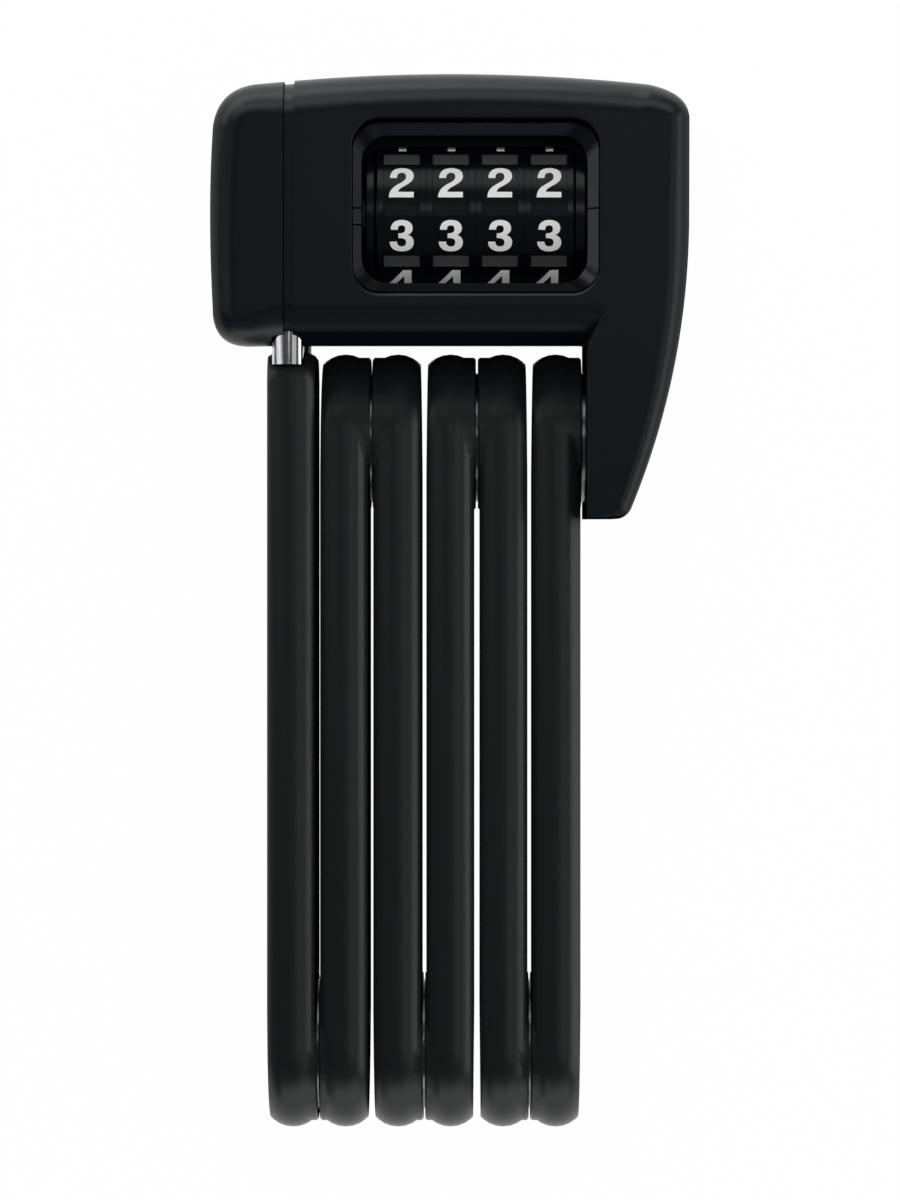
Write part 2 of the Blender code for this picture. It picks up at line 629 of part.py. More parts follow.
def end_taper(x, y, side):
    """The thin wedge cut from a bar's free side, so that it narrows from the hinge to its end."""
    out = math.copysign(1.0, y)
    face, start = x - side * JACKET_THICK / 2, y - out * END_TAPER_REACH
    run = out * (END_TAPER_REACH + JACKET_RADIUS)
    outline = [(face + side * END_TAPER, start + run), (face - side * END_TAPER, start + run),
               (face - side * END_TAPER, start - run)]
    return prism([(*p, -BODY_DEPTH) for p in outline], (0, 0, 3 * BODY_DEPTH))


def core_shape(number, clear=0.0, top=LAST_CORE_TOP_Y):
    """A steel bar with a round eye at each hinge, or the room for it with some clearance."""
    eye, half, thick = CORE_EYE_RADIUS + clear, CORE_SHANK_HALF + clear, CORE_THICK + 2 * clear
    reach = math.acos(half / eye)
    outline = arc((HINGE_BOTTOM_Y, MID_Z), eye, math.pi - reach, math.pi + 2 * reach, CORE_STEPS)
    if number == BAR_COUNT:
        outline += [(top, MID_Z + half), (top, MID_Z - half)]
    else:
        outline += arc((HINGE_TOP_Y, MID_Z), eye, -reach, math.pi + 2 * reach, CORE_STEPS)
    return prism([(bar_x(number) - thick / 2, *p) for p in outline], (thick, 0, 0))


def make_bar(number, axis):
    """A bar's steel core and its coated jacket, with bosses and pockets at the hinges."""
    x = bar_x(number)
    near, far = bar_ends(number)
    last = number == BAR_COUNT
    hinges = [(near, 1)] if last else [(near, 1), (far, -1)]
    core = make_piece(f"bar_core_{number}", "steel", core_shape(number), axis)
    jacket = make_piece(f"bar_jacket_{number}", "bar_coating", jacket_shape(number), axis)
    for y, side in hinges:
        combine(jacket, boss_shape(x, y, side), "UNION")
        combine(jacket, end_taper(x, y, side))
    combine(jacket, core_shape(number, GAP, PIN_TANG_TOP_Y + GAP))
    for y, side in hinges:
        combine(core, bore((x - CORE_THICK, x + CORE_THICK), RIVET_HOLE_RADIUS, y))
        combine(jacket, bore((x + side * CORE_THICK / 2, x + side * JACKET_THICK), SPACER_POCKET_RADIUS, y))
        combine(jacket, bore((x, x - side * JACKET_THICK), HEAD_POCKET_RADIUS, y))
    if last:
        hole = PIN_RADIUS + PIN_FIT
        ends = (PIN_TANG_TOP_Y - OVERSHOOT, LAST_JACKET_TOP_Y + OVERSHOOT)
        combine(jacket, turned([(y, hole) for y in ends], "Y", (x, MID_Z)))
        combine(jacket, shoulder_shape(PIN_FIT, SHOULDER_Y[0] - PIN_FIT, ends[1]))


def make_pin(axis):
    """The chrome pin: a tang inside the last bar, a flat shoulder, a round shank and a notch for the latch."""
    x = bar_x(BAR_COUNT)
    shank = [(PIN_TANG_TOP_Y - OVERSHOOT, PIN_RADIUS), (PIN_TIP_Y - PIN_TIP_CHAMFER, PIN_RADIUS),
             (PIN_TIP_Y, PIN_RADIUS - PIN_TIP_CHAMFER)]
    pin = make_piece("locking_pin", "chrome", turned(shank, "Y", (x, MID_Z)), axis)
    tang = (around(x, CORE_THICK / 2), (LAST_CORE_TOP_Y + GAP, PIN_TANG_TOP_Y), around(MID_Z, CORE_SHANK_HALF))
    combine(pin, blocks(tang), "UNION")
    combine(pin, shoulder_shape(0.0, *SHOULDER_Y), "UNION")
    notch = (x + PIN_RADIUS - NOTCH_DEPTH, x + 2 * PIN_RADIUS)
    combine(pin, blocks((notch, around(DIAL_Y, NOTCH_HALF), around(MID_Z, 2 * PIN_RADIUS))))


def make_hinge(number, carrier):
    """The rivet and spacer between a bar and the piece on its right, which carries them."""
    x, (y, _) = bar_x(number), bar_ends(number)
    half = CORE_THICK / 2
    right = HINGE_PLATE if number == 1 else around(bar_x(number - 1), half)
    low, high = x - half - GAP, right[1] + GAP
    edge = RIVET_HEAD_RADIUS - RIVET_HEAD_CHAMFER
    ends = [low - RIVET_HEAD_THICK, high + RIVET_HEAD_THICK]
    stations = [(ends[0], edge), (ends[0] + RIVET_HEAD_CHAMFER, RIVET_HEAD_RADIUS), (low, RIVET_HEAD_RADIUS),
                (low, RIVET_RADIUS), (high, RIVET_RADIUS), (high, RIVET_HEAD_RADIUS),
                (ends[1] - RIVET_HEAD_CHAMFER, RIVET_HEAD_RADIUS), (ends[1], edge)]
    make_piece(f"hinge_rivet_{number}", "steel", turned(stations, "X", (y, MID_Z)), carrier)
    span = (x + half + GAP, right[0] - GAP)
    make_piece(f"hinge_spacer_{number}", "steel",
               tube(span, RIVET_HOLE_RADIUS, SPACER_RADIUS, "X", (y, MID_Z)), carrier)


def make_bars():
    """The chain of bars, each on an axis that the bar before it carries."""
    axis = None
    for number in range(1, BAR_COUNT + 1):
        make_hinge(number, axis)
        axis = make_axis(f"hinge_{number}_axis", (bar_x(number), bar_ends(number)[0], MID_Z), axis)
        make_bar(number, axis)
    make_pin(axis)


def main():
    clear_scene()
    make_covers()
    make_dial_frame()
    make_case()
    make_dials()
    make_mechanism()
    make_bars()
    settle_pieces()


main()
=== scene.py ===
"""Finished surfaces of a folding bike lock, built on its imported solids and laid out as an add-on.

Shapes are written in millimetres in the frame of the solids: X across the folded bars, Y along them
towards the lock body, Z out of the number dials. They become metres once, when a piece is made.
"""

import json
import math

import bmesh
import bpy
from mathutils import Matrix, Vector


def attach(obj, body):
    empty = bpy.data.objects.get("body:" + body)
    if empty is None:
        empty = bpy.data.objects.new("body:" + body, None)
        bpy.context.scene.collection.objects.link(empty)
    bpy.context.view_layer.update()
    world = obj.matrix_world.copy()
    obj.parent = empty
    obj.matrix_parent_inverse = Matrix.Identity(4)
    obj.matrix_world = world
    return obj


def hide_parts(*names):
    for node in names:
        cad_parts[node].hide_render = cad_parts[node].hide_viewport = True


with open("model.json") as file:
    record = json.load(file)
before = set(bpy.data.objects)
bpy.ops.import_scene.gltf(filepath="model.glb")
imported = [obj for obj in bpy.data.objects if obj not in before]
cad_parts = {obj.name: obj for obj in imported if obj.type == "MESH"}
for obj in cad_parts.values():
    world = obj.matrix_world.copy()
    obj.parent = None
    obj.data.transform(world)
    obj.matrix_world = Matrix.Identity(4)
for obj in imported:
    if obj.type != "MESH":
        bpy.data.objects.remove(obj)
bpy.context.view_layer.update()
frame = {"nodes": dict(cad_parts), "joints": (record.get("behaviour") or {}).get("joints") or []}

bl_info = {
    "name": "Folding bike lock",
    "version": (1, 0, 0),
    "blender": (4, 5, 0),
    "location": "View3D > Sidebar > Bike lock",
    "description": "Dresses the solids of a folding bike lock with finished surfaces",
    "category": "Object",
}

MM = 0.001

# Clearance between fitted pieces, reach of a cutter past a face, and distance at which points are one
GAP = 0.3
OVERSHOOT = 1.0
MERGE = 1e-4
# Edges that turn by more than this stay crisp
SHARP = math.radians(40)

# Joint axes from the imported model, in millimetres
HINGES = [Vector(j["pos_m"]) / MM for j in frame["joints"] if j["name"].startswith("hinge_")]
DIALS = [Vector(j["pos_m"]) / MM for j in frame["joints"] if j["name"].startswith("dial_turn_")]
BAR_COUNT = len(HINGES)
BAR_X = [hinge.x for hinge in HINGES]
HINGE_TOP_Y, HINGE_BOTTOM_Y = HINGES[0].y, HINGES[1].y
MID_Z = HINGES[0].z
DIAL_Y = DIALS[0].y

# Smoothness of the shapes
FINE = 3
FILLET_STEPS = 12
ROUND_STEPS = 64
BAR_RINGS = 11
BAR_END_STEPS = 30
CORNER_STEPS = 12
DIAL_STEPS = 120
HALF_TURN = [math.pi * i / CORNER_STEPS for i in range(CORNER_STEPS + 1)]
# How far a round edge lies in from the outline and from the face, for a radius of one
ROUND_EDGE = [(1 - math.cos(turn), 1 - math.sin(turn))
              for turn in (math.pi / 2 * i / FILLET_STEPS for i in range(FILLET_STEPS + 1))]

# Lock body
BODY_DEPTH = 34.0
UNDERSIDE_Y = 40.52
CAP_BOTTOM_Y = UNDERSIDE_Y - 0.15
LEG_LEFT_X = 21.7
LEG_BOTTOM_Y = 12.86
# How much the underside and the end of the leg rise to the back, and how far up the sides follow
UNDERSIDE_RISE = 1.2
LEG_RISE = 0.45
RISE_REACH = 6.6
# The seam of the end cap and the shallow band beside it
SEAM_X = -26.25
SEAM_GAP = 0.15
BAND_WIDTH = 1.55
BAND_DEPTH = 0.45
BAND_TOP_Y = 82.8
CASE_Z = (7.0, 27.0)
CASE_BOTTOM_Y = 44.2
CASE_OUTLINE = [(23.2, 15.5), (27.2, 15.5), (27.2, 77.7), (24.7, 80.2), (-29.5, 80.2), (-33.0, 76.7),
                (-33.0, CASE_BOTTOM_Y), (23.2, CASE_BOTTOM_Y)]
HINGE_PLATE = (23.2, 27.2)
BAY_X, BAY_Y, BAY_FLOOR_Z = (-14.0, 22.0), (48.2, 76.2), 2.2
SOCKET_RADIUS = 3.5
SOCKET_MOUTH_RADIUS = 4.6
SOCKET_MOUTH_DEPTH = 1.2
ARCH_HALF = 2.6
ARCH_Y = (41.7, 42.2)
WINDOW_X, WINDOW_Y, WINDOW_CORNER = (-15.3, 23.65), (48.75, 76.2), 4.2
LEDGE_Y = (48.95, 75.6)
OPENING_X, OPENING_Y, OPENING_CORNER = (-14.0, 21.95), (50.3, 73.75), 4.2
SHELF_TOP_Y = 72.3
FRAME_FIT = 0.06
# Heights of the window frame at its outer and inner edge: on the right, above, on the left and below
FRAME_OUTER_Z = (33.0, 32.5, 32.9, 32.5)
FRAME_INNER_Z = (31.57, 32.5, 32.43, 32.5)
SHELF_Z = (28.3, 28.2)
LEFT_MARKS_Y, RIGHT_MARKS_Y, MARK_HALF_WIDTH, MARK_Z = (62.2, 59.55), (62.2,), 0.14, (31.0, 33.5)

# Bars and hinges
CORE_THICK = 5.0
CORE_EYE_RADIUS = 8.5
CORE_SHANK_HALF = 5.5
LAST_BAR_TOP_Y = 40.0
LAST_BAR_CORNER = 4.7
TAPER_START = 6.0
TANG_TOP_Y = 34.0
TANG_BOTTOM_Y = 10.3
RIVET_RADIUS = 3.0
RIVET_HEAD_RADIUS = 5.0
RIVET_HEAD_THICK = 0.75
RIVET_HEAD_CHAMFER = 0.35
HEAD_POCKET_RADIUS = 5.4
SPACER_RADIUS = 10.4
SPACER_CHAMFER = 0.2

# Locking pin
PIN_TIP_Y = 68.5
PIN_TIP_CHAMFER = 1.2
NOTCH_HALF = 2.6
NOTCH_DEPTH = 2.05
SHOULDER_FRONT = 14.45
SHOULDER_BACK = 12.4
SHOULDER_NOSE = 1.5
SHOULDER_SHIFT = -0.45
SHOULDER_Y = (37.5, 43.2)
PIN_FIT = 0.15
# Under and behind these the pin's root and flanks are darkened with painted shade
PIN_SHADE_Y, PIN_SHADE_Z = 43.6, 29.1

# Number dials
DIAL_HALF_WIDTH = 3.9
DIAL_EDGE = 0.03
DIAL_INNER_RADIUS = 9.3
DIAL_BAND_HALF = 2.85
DIAL_BAND_RECESS = 0.12
DIGITS = 10
GROOVE_WIDTH = 2.1
GROOVE_DEPTH = 0.45
COLLAR_X = [(-13.4, -11.85), (19.9, 21.75)]
COLLAR_RADIUS = 13.5
COLLAR_INNER_RADIUS = 5.3
COLLAR_CHAMFER = 0.25
# How far the ink stands proud and reaches into the dial, and the slices that let it bend
NUMBER_STAND = 0.03
NUMBER_SINK = 0.2
NUMBER_SLICE = 0.3

# Bold upright numerals on a grid of 100 per height: a pair is a straight step, six numbers a curve
NUMERALS = [
    [[(36, 101), (14, 101, 4, 81, 4, 50), (4, 19, 14, -1, 36, -1), (58, -1, 68, 19, 68, 50),
      (68, 81, 58, 101, 36, 101)],
     [(36, 85), (47, 85, 48, 68, 48, 50), (48, 32, 47, 15, 36, 15), (25, 15, 24, 32, 24, 50),
      (24, 68, 25, 85, 36, 85)]],
    [[(48, 100), (48, 0), (27, 0), (27, 68), (9, 68), (9, 82), (23, 82, 30, 88, 32, 100)]],
    [[(4, 65), (4, 88, 16, 101, 37, 101), (57, 101, 69, 90, 69, 72), (69, 60, 63, 51, 50, 42), (38, 34),
      (31, 29, 28, 25, 26, 18), (69, 18), (69, 0), (1, 0), (2, 20, 8, 30, 24, 42), (37, 51),
      (45, 57, 48, 62, 48, 70), (48, 79, 44, 84, 36, 84), (28, 84, 23, 78, 23, 65)]],
    [[(6, 70), (6, 90, 17, 101, 36, 101), (55, 101, 66, 91, 66, 75), (66, 64, 61, 57, 52, 53),
      (63, 50, 69, 41, 69, 29), (69, 10, 56, -2, 36, -2), (16, -2, 3, 10, 3, 31), (23, 31),
      (23, 20, 28, 15, 36, 15), (44, 15, 48, 20, 48, 29), (48, 40, 42, 43, 27, 43), (27, 58),
      (40, 58, 46, 62, 46, 72), (46, 80, 43, 84, 36, 84), (28, 84, 25, 79, 25, 70)]],
    [[(62, 38), (71, 38), (71, 22), (62, 22), (62, 0), (42, 0), (42, 22), (1, 22), (1, 40), (39, 100),
      (62, 100)],
     [(42, 38), (42, 76), (18, 38)]],
    [[(64, 100), (64, 82), (27, 82), (25, 63), (29, 67, 34, 69, 41, 69), (58, 69, 69, 55, 69, 35),
      (69, 13, 55, -2, 34, -2), (15, -2, 3, 9, 2, 28), (23, 28), (24, 19, 28, 14, 35, 14),
      (43, 14, 48, 21, 48, 33), (48, 45, 43, 52, 35, 52), (29, 52, 25, 50, 23, 45), (4, 46), (12, 100)]],
    [[(66, 74), (46, 74), (45, 81, 42, 84, 37, 84), (29, 84, 24, 74, 23, 57), (27, 62, 33, 65, 41, 65),
      (58, 65, 69, 52, 69, 33), (69, 12, 56, -2, 37, -2), (14, -2, 2, 15, 2, 48), (2, 83, 15, 101, 38, 101),
      (54, 101, 65, 91, 66, 74)],
     [(36, 49), (28, 49, 24, 43, 24, 32), (24, 21, 29, 14, 36, 14), (44, 14, 48, 21, 48, 32),
      (48, 43, 44, 49, 36, 49)]],
    [[(3, 100), (69, 100), (69, 84), (50, 62, 39, 34, 37, 0), (15, 0), (18, 32, 30, 60, 48, 82), (3, 82)]],
    [[(36, 101), (55, 101, 67, 91, 67, 75), (67, 65, 62, 57, 54, 53), (64, 49, 70, 40, 70, 28),
      (70, 10, 56, -2, 36, -2), (16, -2, 2, 10, 2, 28), (2, 40, 8, 49, 18, 53), (10, 57, 5, 65, 5, 75),
      (5, 91, 17, 101, 36, 101)],
     [(36, 85), (29, 85, 25, 80, 25, 73), (25, 65, 29, 60, 36, 60), (43, 60, 47, 65, 47, 73),
      (47, 80, 43, 85, 36, 85)],
     [(36, 44), (28, 44, 23, 38, 23, 29), (23, 20, 28, 14, 36, 14), (44, 14, 49, 20, 49, 29),
      (49, 38, 44, 44, 36, 44)]],
    [[(5, 25), (25, 25), (26, 18, 29, 15, 34, 15), (42, 15, 47, 25, 48, 42), (44, 37, 38, 34, 30, 34),
      (13, 34, 2, 47, 2, 66), (2, 87, 15, 101, 34, 101), (57, 101, 69, 84, 69, 51),
      (69, 16, 56, -2, 33, -2), (17, -2, 6, 8, 5, 25)],
     [(35, 50), (43, 50, 47, 56, 47, 67), (47, 78, 42, 85, 35, 85), (27, 85, 23, 78, 23, 67),
      (23, 56, 27, 50, 35, 50)]],
]
NUMERAL_CENTRE = (35.5, 49.5)
NUMERAL_WIDTH = 68.0
NUMERAL_HEIGHT = 100.0
NUMERAL_STEPS = 8
NUMERAL_MERGE = 0.1
# Where a dial's zero stands, in degrees from the front towards the top
FIRST_ANGLE = 90.0

# Looks: size of the faint clouds in each material, share of the floor's own glow, the floor's bottom and
# top, and strength of the light from all sides
CLOUD_SIZE = 18.0
FLOOR_GLOW = 0.985
FLOOR_Z = (-5.0, -0.01)
WORLD_LIGHT = 0.08


def linear(code):
    """Turns an sRGB hex colour into linear light."""
    values = [int(code[i:i + 2], 16) / 255 for i in (1, 3, 5)]
    return tuple(v / 12.92 if v <= 0.04045 else ((v + 0.055) / 1.055) ** 2.4 for v in values)


def length(name, description, value):
    """A size in millimetres as a property in metres."""
    return bpy.props.FloatProperty(name=name, description=description, default=value * MM, min=0.0,
                                   precision=5, unit="LENGTH")


def colour(name, description, code):
    """An sRGB hex colour as a property in linear light."""
    return bpy.props.FloatVectorProperty(name=name, description=description, default=linear(code),
                                         min=0.0, max=1.0, size=3, subtype="COLOR")


class LockSizes(bpy.types.PropertyGroup):
    bar_thickness: length("Bar thickness", "Coated bar across its flat sides", 7.65)
    bar_radius: length("Bar radius", "Half the height of a coated bar, and its round end", 13.43)
    bar_crown: length("Bar crown", "Radius of the bar's rounded front and back", 4.9)
    boss_height: length("Boss height", "From the middle of a bar to the face of its hinge boss", 4.085)
    boss_radius: length("Boss radius", "Hinge boss towards the bar's upper end", 12.92)
    boss_foot: length("Boss foot", "Hinge boss towards the bar's lower end", 12.4)
    boss_reach: length("Boss reach", "Hinge boss towards the bar's middle", 11.7)
    end_taper: length("End taper", "How much a bar narrows on its free side at each end", 0.2)
    pin_radius: length("Pin radius", "Locking pin", 2.9)
    dial_radius: length("Dial radius", "Number dials", 13.9)
    number_height: length("Number height", "Numbers on the dials, along the dial's curve", 5.0)
    number_width: length("Number width", "Numbers on the dials", 3.95)
    window_lip: length("Window lip", "Rounding of the housing's edge round the number window", 0.7)


class LockColours(bpy.types.PropertyGroup):
    housing: colour("Housing", "Moulded lock body", "#0B1115")
    coating: colour("Bar coating", "Coating of the bars", "#141718")
    dial: colour("Dials", "Number dials and their collars", "#05090C")
    # Painted highlight: grey that stands in for light reflected by the groove floors and by the window wall
    # that looks left
    painted_highlight_grey: colour("Grooves", "Floors of the grooves between the numbers", "#464748")
    numbers: colour("Numbers", "Printed numbers", "#F4F4F2")
    chrome: colour("Chrome", "Locking pin", "#D6D7D9")
    # Painted shade, tinted onto the root and flanks of the locking pin
    skin: colour("Dark skin", "Hardened steel behind the polished front of the pin", "#1D1D1E")
    steel: colour("Steel", "Rivets, spacers and bar cores", "#A9AAAC")
    brass: colour("Brass", "Code rings", "#B98E4A")
    floor: colour("Floor", "Studio floor", "#F4F4F4")


class LockStage(bpy.types.PropertyGroup):
    camera_distance: length("Camera distance", "From the camera to the middle of the bars", 800.0)
    frame_height: length("Frame height", "Height that the picture takes in at that distance", 194.2)
    camera_right: length("Camera to the right", "How far the camera stands right of the middle", 4.2)
    floor_reach: length("Floor reach", "Half the width of the floor", 4000.0)


def loft(rings, closed=False):
    """Joins rings of equal point count, with caps at the ends or, if closed, from the last to the first."""
    bm = bmesh.new()
    loops = [[bm.verts.new(p) for p in ring] for ring in rings]
    for low, high in zip(loops, loops[1:] + loops[:1] if closed else loops[1:]):
        for i in range(len(low)):
            bm.faces.new((low[i - 1], low[i], high[i], high[i - 1]))
    if not closed:
        bm.faces.new(loops[0])
        bm.faces.new(loops[-1])
    return bm


def prism(outline, reach):
    """Extrudes a flat outline of 3D points along a vector."""
    bm = bmesh.new()
    face = bm.faces.new([bm.verts.new(p) for p in outline])
    moved = bmesh.ops.extrude_face_region(bm, geom=[face])["geom"]
    bmesh.ops.translate(bm, vec=reach, verts=[v for v in moved if isinstance(v, bmesh.types.BMVert)])
    return bm


def blocks(*boxes):
    """One or more boxes, each between the two values given for every axis."""
    bm = bmesh.new()
    for box in boxes:
        middle = Vector([(low + high) / 2 for low, high in box])
        size = Matrix.Diagonal([high - low for low, high in box] + [1.0])
        bmesh.ops.create_cube(bm, size=1.0, matrix=Matrix.Translation(middle) @ size)
    return bm


def turned(stations, axis, centre, steps=ROUND_STEPS, closed=False):
    """Spins (position along the axis, radius) stations; the centre gives the other two coordinates."""
    bm = bmesh.new()
    if not closed:
        stations = [(stations[0][0], 0.0), *stations, (stations[-1][0], 0.0)]
    if axis == "X":
        line, middle = Vector((1.0, 0.0, 0.0)), Vector((0.0, *centre))
        profile = [bm.verts.new(middle + Vector((along, radius, 0.0))) for along, radius in stations]
    else:
        line, middle = Vector((0.0, 1.0, 0.0)), Vector((centre[0], 0.0, centre[1]))
        profile = [bm.verts.new(middle + Vector((radius, along, 0.0))) for along, radius in stations]
    edges = [bm.edges.new(pair) for pair in zip(profile, profile[1:])]
    if closed:
        edges.append(bm.edges.new((profile[-1], profile[0])))
    bmesh.ops.spin(bm, geom=profile + edges, cent=middle, axis=line, angle=math.tau, steps=steps,
                   use_merge=True)
    bmesh.ops.remove_doubles(bm, verts=bm.verts, dist=MERGE)
    bmesh.ops.rotate(bm, cent=middle, matrix=Matrix.Rotation(math.pi / steps, 3, line), verts=bm.verts)
    return bm


def bore(span, radius, y):
    """A round cutter along X at the middle depth."""
    return turned([(span[0], radius), (span[1], radius)], "X", (y, MID_Z))


def tube(span, inner, outer, axis, centre, edge=0.0, steps=ROUND_STEPS):
    """A ring with a small chamfer on its outer edges."""
    low, high = span
    wall = [(low, inner), (low, outer - edge), (low + edge, outer), (high - edge, outer),
            (high, outer - edge), (high, inner)]
    return turned(wall if edge else [wall[0], (low, outer), (high, outer), wall[-1]], axis, centre, steps,
                  closed=True)


def around(middle, half):
    """The values at a distance on either side of a middle one."""
    return middle - half, middle + half


def new_object(name, shape):
    """An object from a bmesh, with its faces turned outwards."""
    bmesh.ops.recalc_face_normals(shape, faces=shape.faces)
    mesh = bpy.data.meshes.new(name)
    shape.to_mesh(mesh)
    shape.free()
    made = bpy.data.objects.new(name, mesh)
    bpy.context.scene.collection.objects.link(made)
    return made


def evaluated(item):
    """The mesh that an object has after its modifiers."""
    graph = bpy.context.evaluated_depsgraph_get()
    return bpy.data.meshes.new_from_object(item.evaluated_get(graph))


def carve(shape, *cuts):
    """Applies (operation, cutter) pairs to a shape and returns the result."""
    made = [new_object("work", shape)]
    for operation, cutter in cuts:
        made.append(new_object("cutter", cutter))
        modifier = made[0].modifiers.new("cut", "BOOLEAN")
        modifier.operation = operation
        modifier.solver = "EXACT"
        modifier.object = made[-1]
    mesh = evaluated(made[0])
    result = bmesh.new()
    result.from_mesh(mesh)
    bpy.data.meshes.remove(mesh)
    for item in made:
        bpy.data.objects.remove(item, do_unlink=True)
    return result


def minus(*cutters):
    """Pairs for carve that take each of the cutters away."""
    return [("DIFFERENCE", cutter) for cutter in cutters]


def add_piece(name, shape, body, materials, nodes=()):
    """A finished piece in metres: smooth with crisp edges, riding on a body and standing for CAD nodes."""
    bmesh.ops.scale(shape, vec=(MM, MM, MM), verts=shape.verts)
    made = new_object(name, shape)
    made.data.shade_smooth()
    made.data.set_sharp_from_angle(angle=SHARP)
    weighted = made.modifiers.new("weighted", "WEIGHTED_NORMAL")
    weighted.keep_sharp = True
    mesh = evaluated(made)
    made.modifiers.clear()
    made.data = mesh
    mesh.name = name
    for material in materials:
        mesh.materials.append(material)
    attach(made, body)
    if nodes:
        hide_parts(*nodes)
    return made


def bezier(start, bend, end, steps):
    """Points of a quadratic curve, without its last one."""
    points = []
    for i in range(steps):
        t = i / steps
        points.append(tuple((1 - t) ** 2 * a + 2 * t * (1 - t) * b + t * t * c
                            for a, b, c in zip(start, bend, end)))
    return points


def rounded_rectangle(across, along, corner):
    """Points of a rectangle between two values each way, with round corners."""
    points = []
    for quarter, (x, y) in enumerate([(1, 1), (0, 1), (0, 0), (1, 0)]):
        for i in range(CORNER_STEPS + 1):
            angle = math.pi / 2 * (quarter + i / CORNER_STEPS)
            points.append((across[x] + (1 - 2 * x) * corner + corner * math.cos(angle),
                           along[y] + (1 - 2 * y) * corner + corner * math.sin(angle)))
    return points


def inward(outline):
    """For each point of a counterclockwise outline, the step that moves both of its sides in by one."""
    steps = []
    for i, (x, y) in enumerate(outline):
        normals = []
        for (x0, y0), (x1, y1) in ((outline[i - 1], (x, y)), ((x, y), outline[(i + 1) % len(outline)])):
            run = math.hypot(x1 - x0, y1 - y0)
            normals.append((-(y1 - y0) / run, (x1 - x0) / run))
        (ax, ay), (bx, by) = normals
        share = 1 + ax * bx + ay * by
        steps.append(((ax + bx) / share, (ay + by) / share))
    return steps


def body_outline(fine=1):
    """The lock body seen from the front, counterclockwise, and the fillet radius at each of its points."""
    under_left, side_low, side_high = (-32.0, CAP_BOTTOM_Y), (-37.7, 46.2), (-37.72, 75.5)
    top_left, top_right, brow = (-30.3, 82.35), (31.0, 82.3), (38.18, 76.8)
    flank, heel, sole = (38.16, 61.0), (28.8, 14.35), (26.4, LEG_BOTTOM_Y)
    corner = (LEG_LEFT_X, UNDERSIDE_Y)
    # Each run goes from its start to the next run's start, with its bend, steps, first and last fillet
    runs = [
        (under_left, None, 2, 5.2, 6.5), ((-27.5, UNDERSIDE_Y), None, 2, 6.5, 6.5),
        ((14.0, UNDERSIDE_Y), None, 1, 6.5, 6.5), ((20.0, UNDERSIDE_Y), None, 1, 6.5, 6.5),
        (corner, None, 1, 0.8, 0.6), ((LEG_LEFT_X, 34.0), None, 1, 0.6, 0.6),
        ((LEG_LEFT_X, LEG_BOTTOM_Y), None, 1, 0.6, 1.2),
        (sole, (27.8, LEG_BOTTOM_Y), 3, 1.5, 2.0), (heel, (38.0, 36.5), 10, 2.4, 4.0),
        (flank, None, 3, 4.0, 3.6), (brow, (38.0, 81.0), 6, 3.6, 5.2),
        (top_right, (0.0, 85.5), 10, 5.6, 6.4), (top_left, (-36.85, 81.75), 8, 6.0, 4.8),
        (side_high, (-38.6, 62.0), 6, 4.8, 4.0), (side_low, (-37.7, CAP_BOTTOM_Y), 7, 3.8, 5.2),
    ]
    points, radii = [], []
    for i, (start, bend, steps, first, last) in enumerate(runs):
        end = runs[(i + 1) % len(runs)][0]
        middle = bend or tuple((a + b) / 2 for a, b in zip(start, end))
        steps *= fine
        points += bezier(start, middle, end, steps)
        radii += [first + (last - first) * j / steps for j in range(steps)]
    return points, radii


def rear_lift(x, y):
    """How much higher a point of the outline lies at the back, where the underside and the leg slope up."""
    low, rise = LEG_BOTTOM_Y, LEG_RISE
    if x <= LEG_LEFT_X and y > UNDERSIDE_Y - GAP:
        low, rise = UNDERSIDE_Y, UNDERSIDE_RISE
    return rise * max(0.0, 1 - (y - low) / RISE_REACH)


def body_shape():
    """The filled outer shape of the lock body, from its back to its front."""
    outline, radii = body_outline(FINE)
    # Steps blended between those of the plain outline keep a wide fillet from crossing itself in a corner
    plain = inward(body_outline()[0])
    steps = []
    for i, after in enumerate(plain[1:] + plain[:1]):
        steps += [tuple(a + (b - a) * j / FINE for a, b in zip(plain[i], after)) for j in range(FINE)]
    lifts = [rear_lift(x, y) for x, y in outline]
    rings = []
    for inset, drop in ROUND_EDGE:
        rings.append([(x + dx * (radius * inset), y + dy * (radius * inset), BODY_DEPTH - radius * drop)
                      for (x, y), (dx, dy), radius in zip(outline, steps, radii)])
    mirrored = [[(x, y + lift, BODY_DEPTH - z) for (x, y, z), lift in zip(ring, lifts)] for ring in rings]
    return loft(mirrored[::-1] + rings)


def case_room():
    """The pocket in the covers that takes the steel case."""
    outline = [(x - dx * GAP, y - dy * GAP) for (x, y), (dx, dy) in zip(CASE_OUTLINE, inward(CASE_OUTLINE))]
    low, high = CASE_Z[0] - GAP, CASE_Z[1] + GAP
    return prism([(*p, low) for p in outline], (0, 0, high - low))


def socket_room():
    """The hole for the pin through the underside, with its wide mouth."""
    flare = (SOCKET_MOUTH_RADIUS - SOCKET_RADIUS) / SOCKET_MOUTH_DEPTH
    stations = [(UNDERSIDE_Y - OVERSHOOT, SOCKET_MOUTH_RADIUS + flare * OVERSHOOT),
                (UNDERSIDE_Y + SOCKET_MOUTH_DEPTH, SOCKET_RADIUS),
                (CASE_BOTTOM_Y + OVERSHOOT, SOCKET_RADIUS)]
    return turned(stations, "Y", (BAR_X[-1], MID_Z))


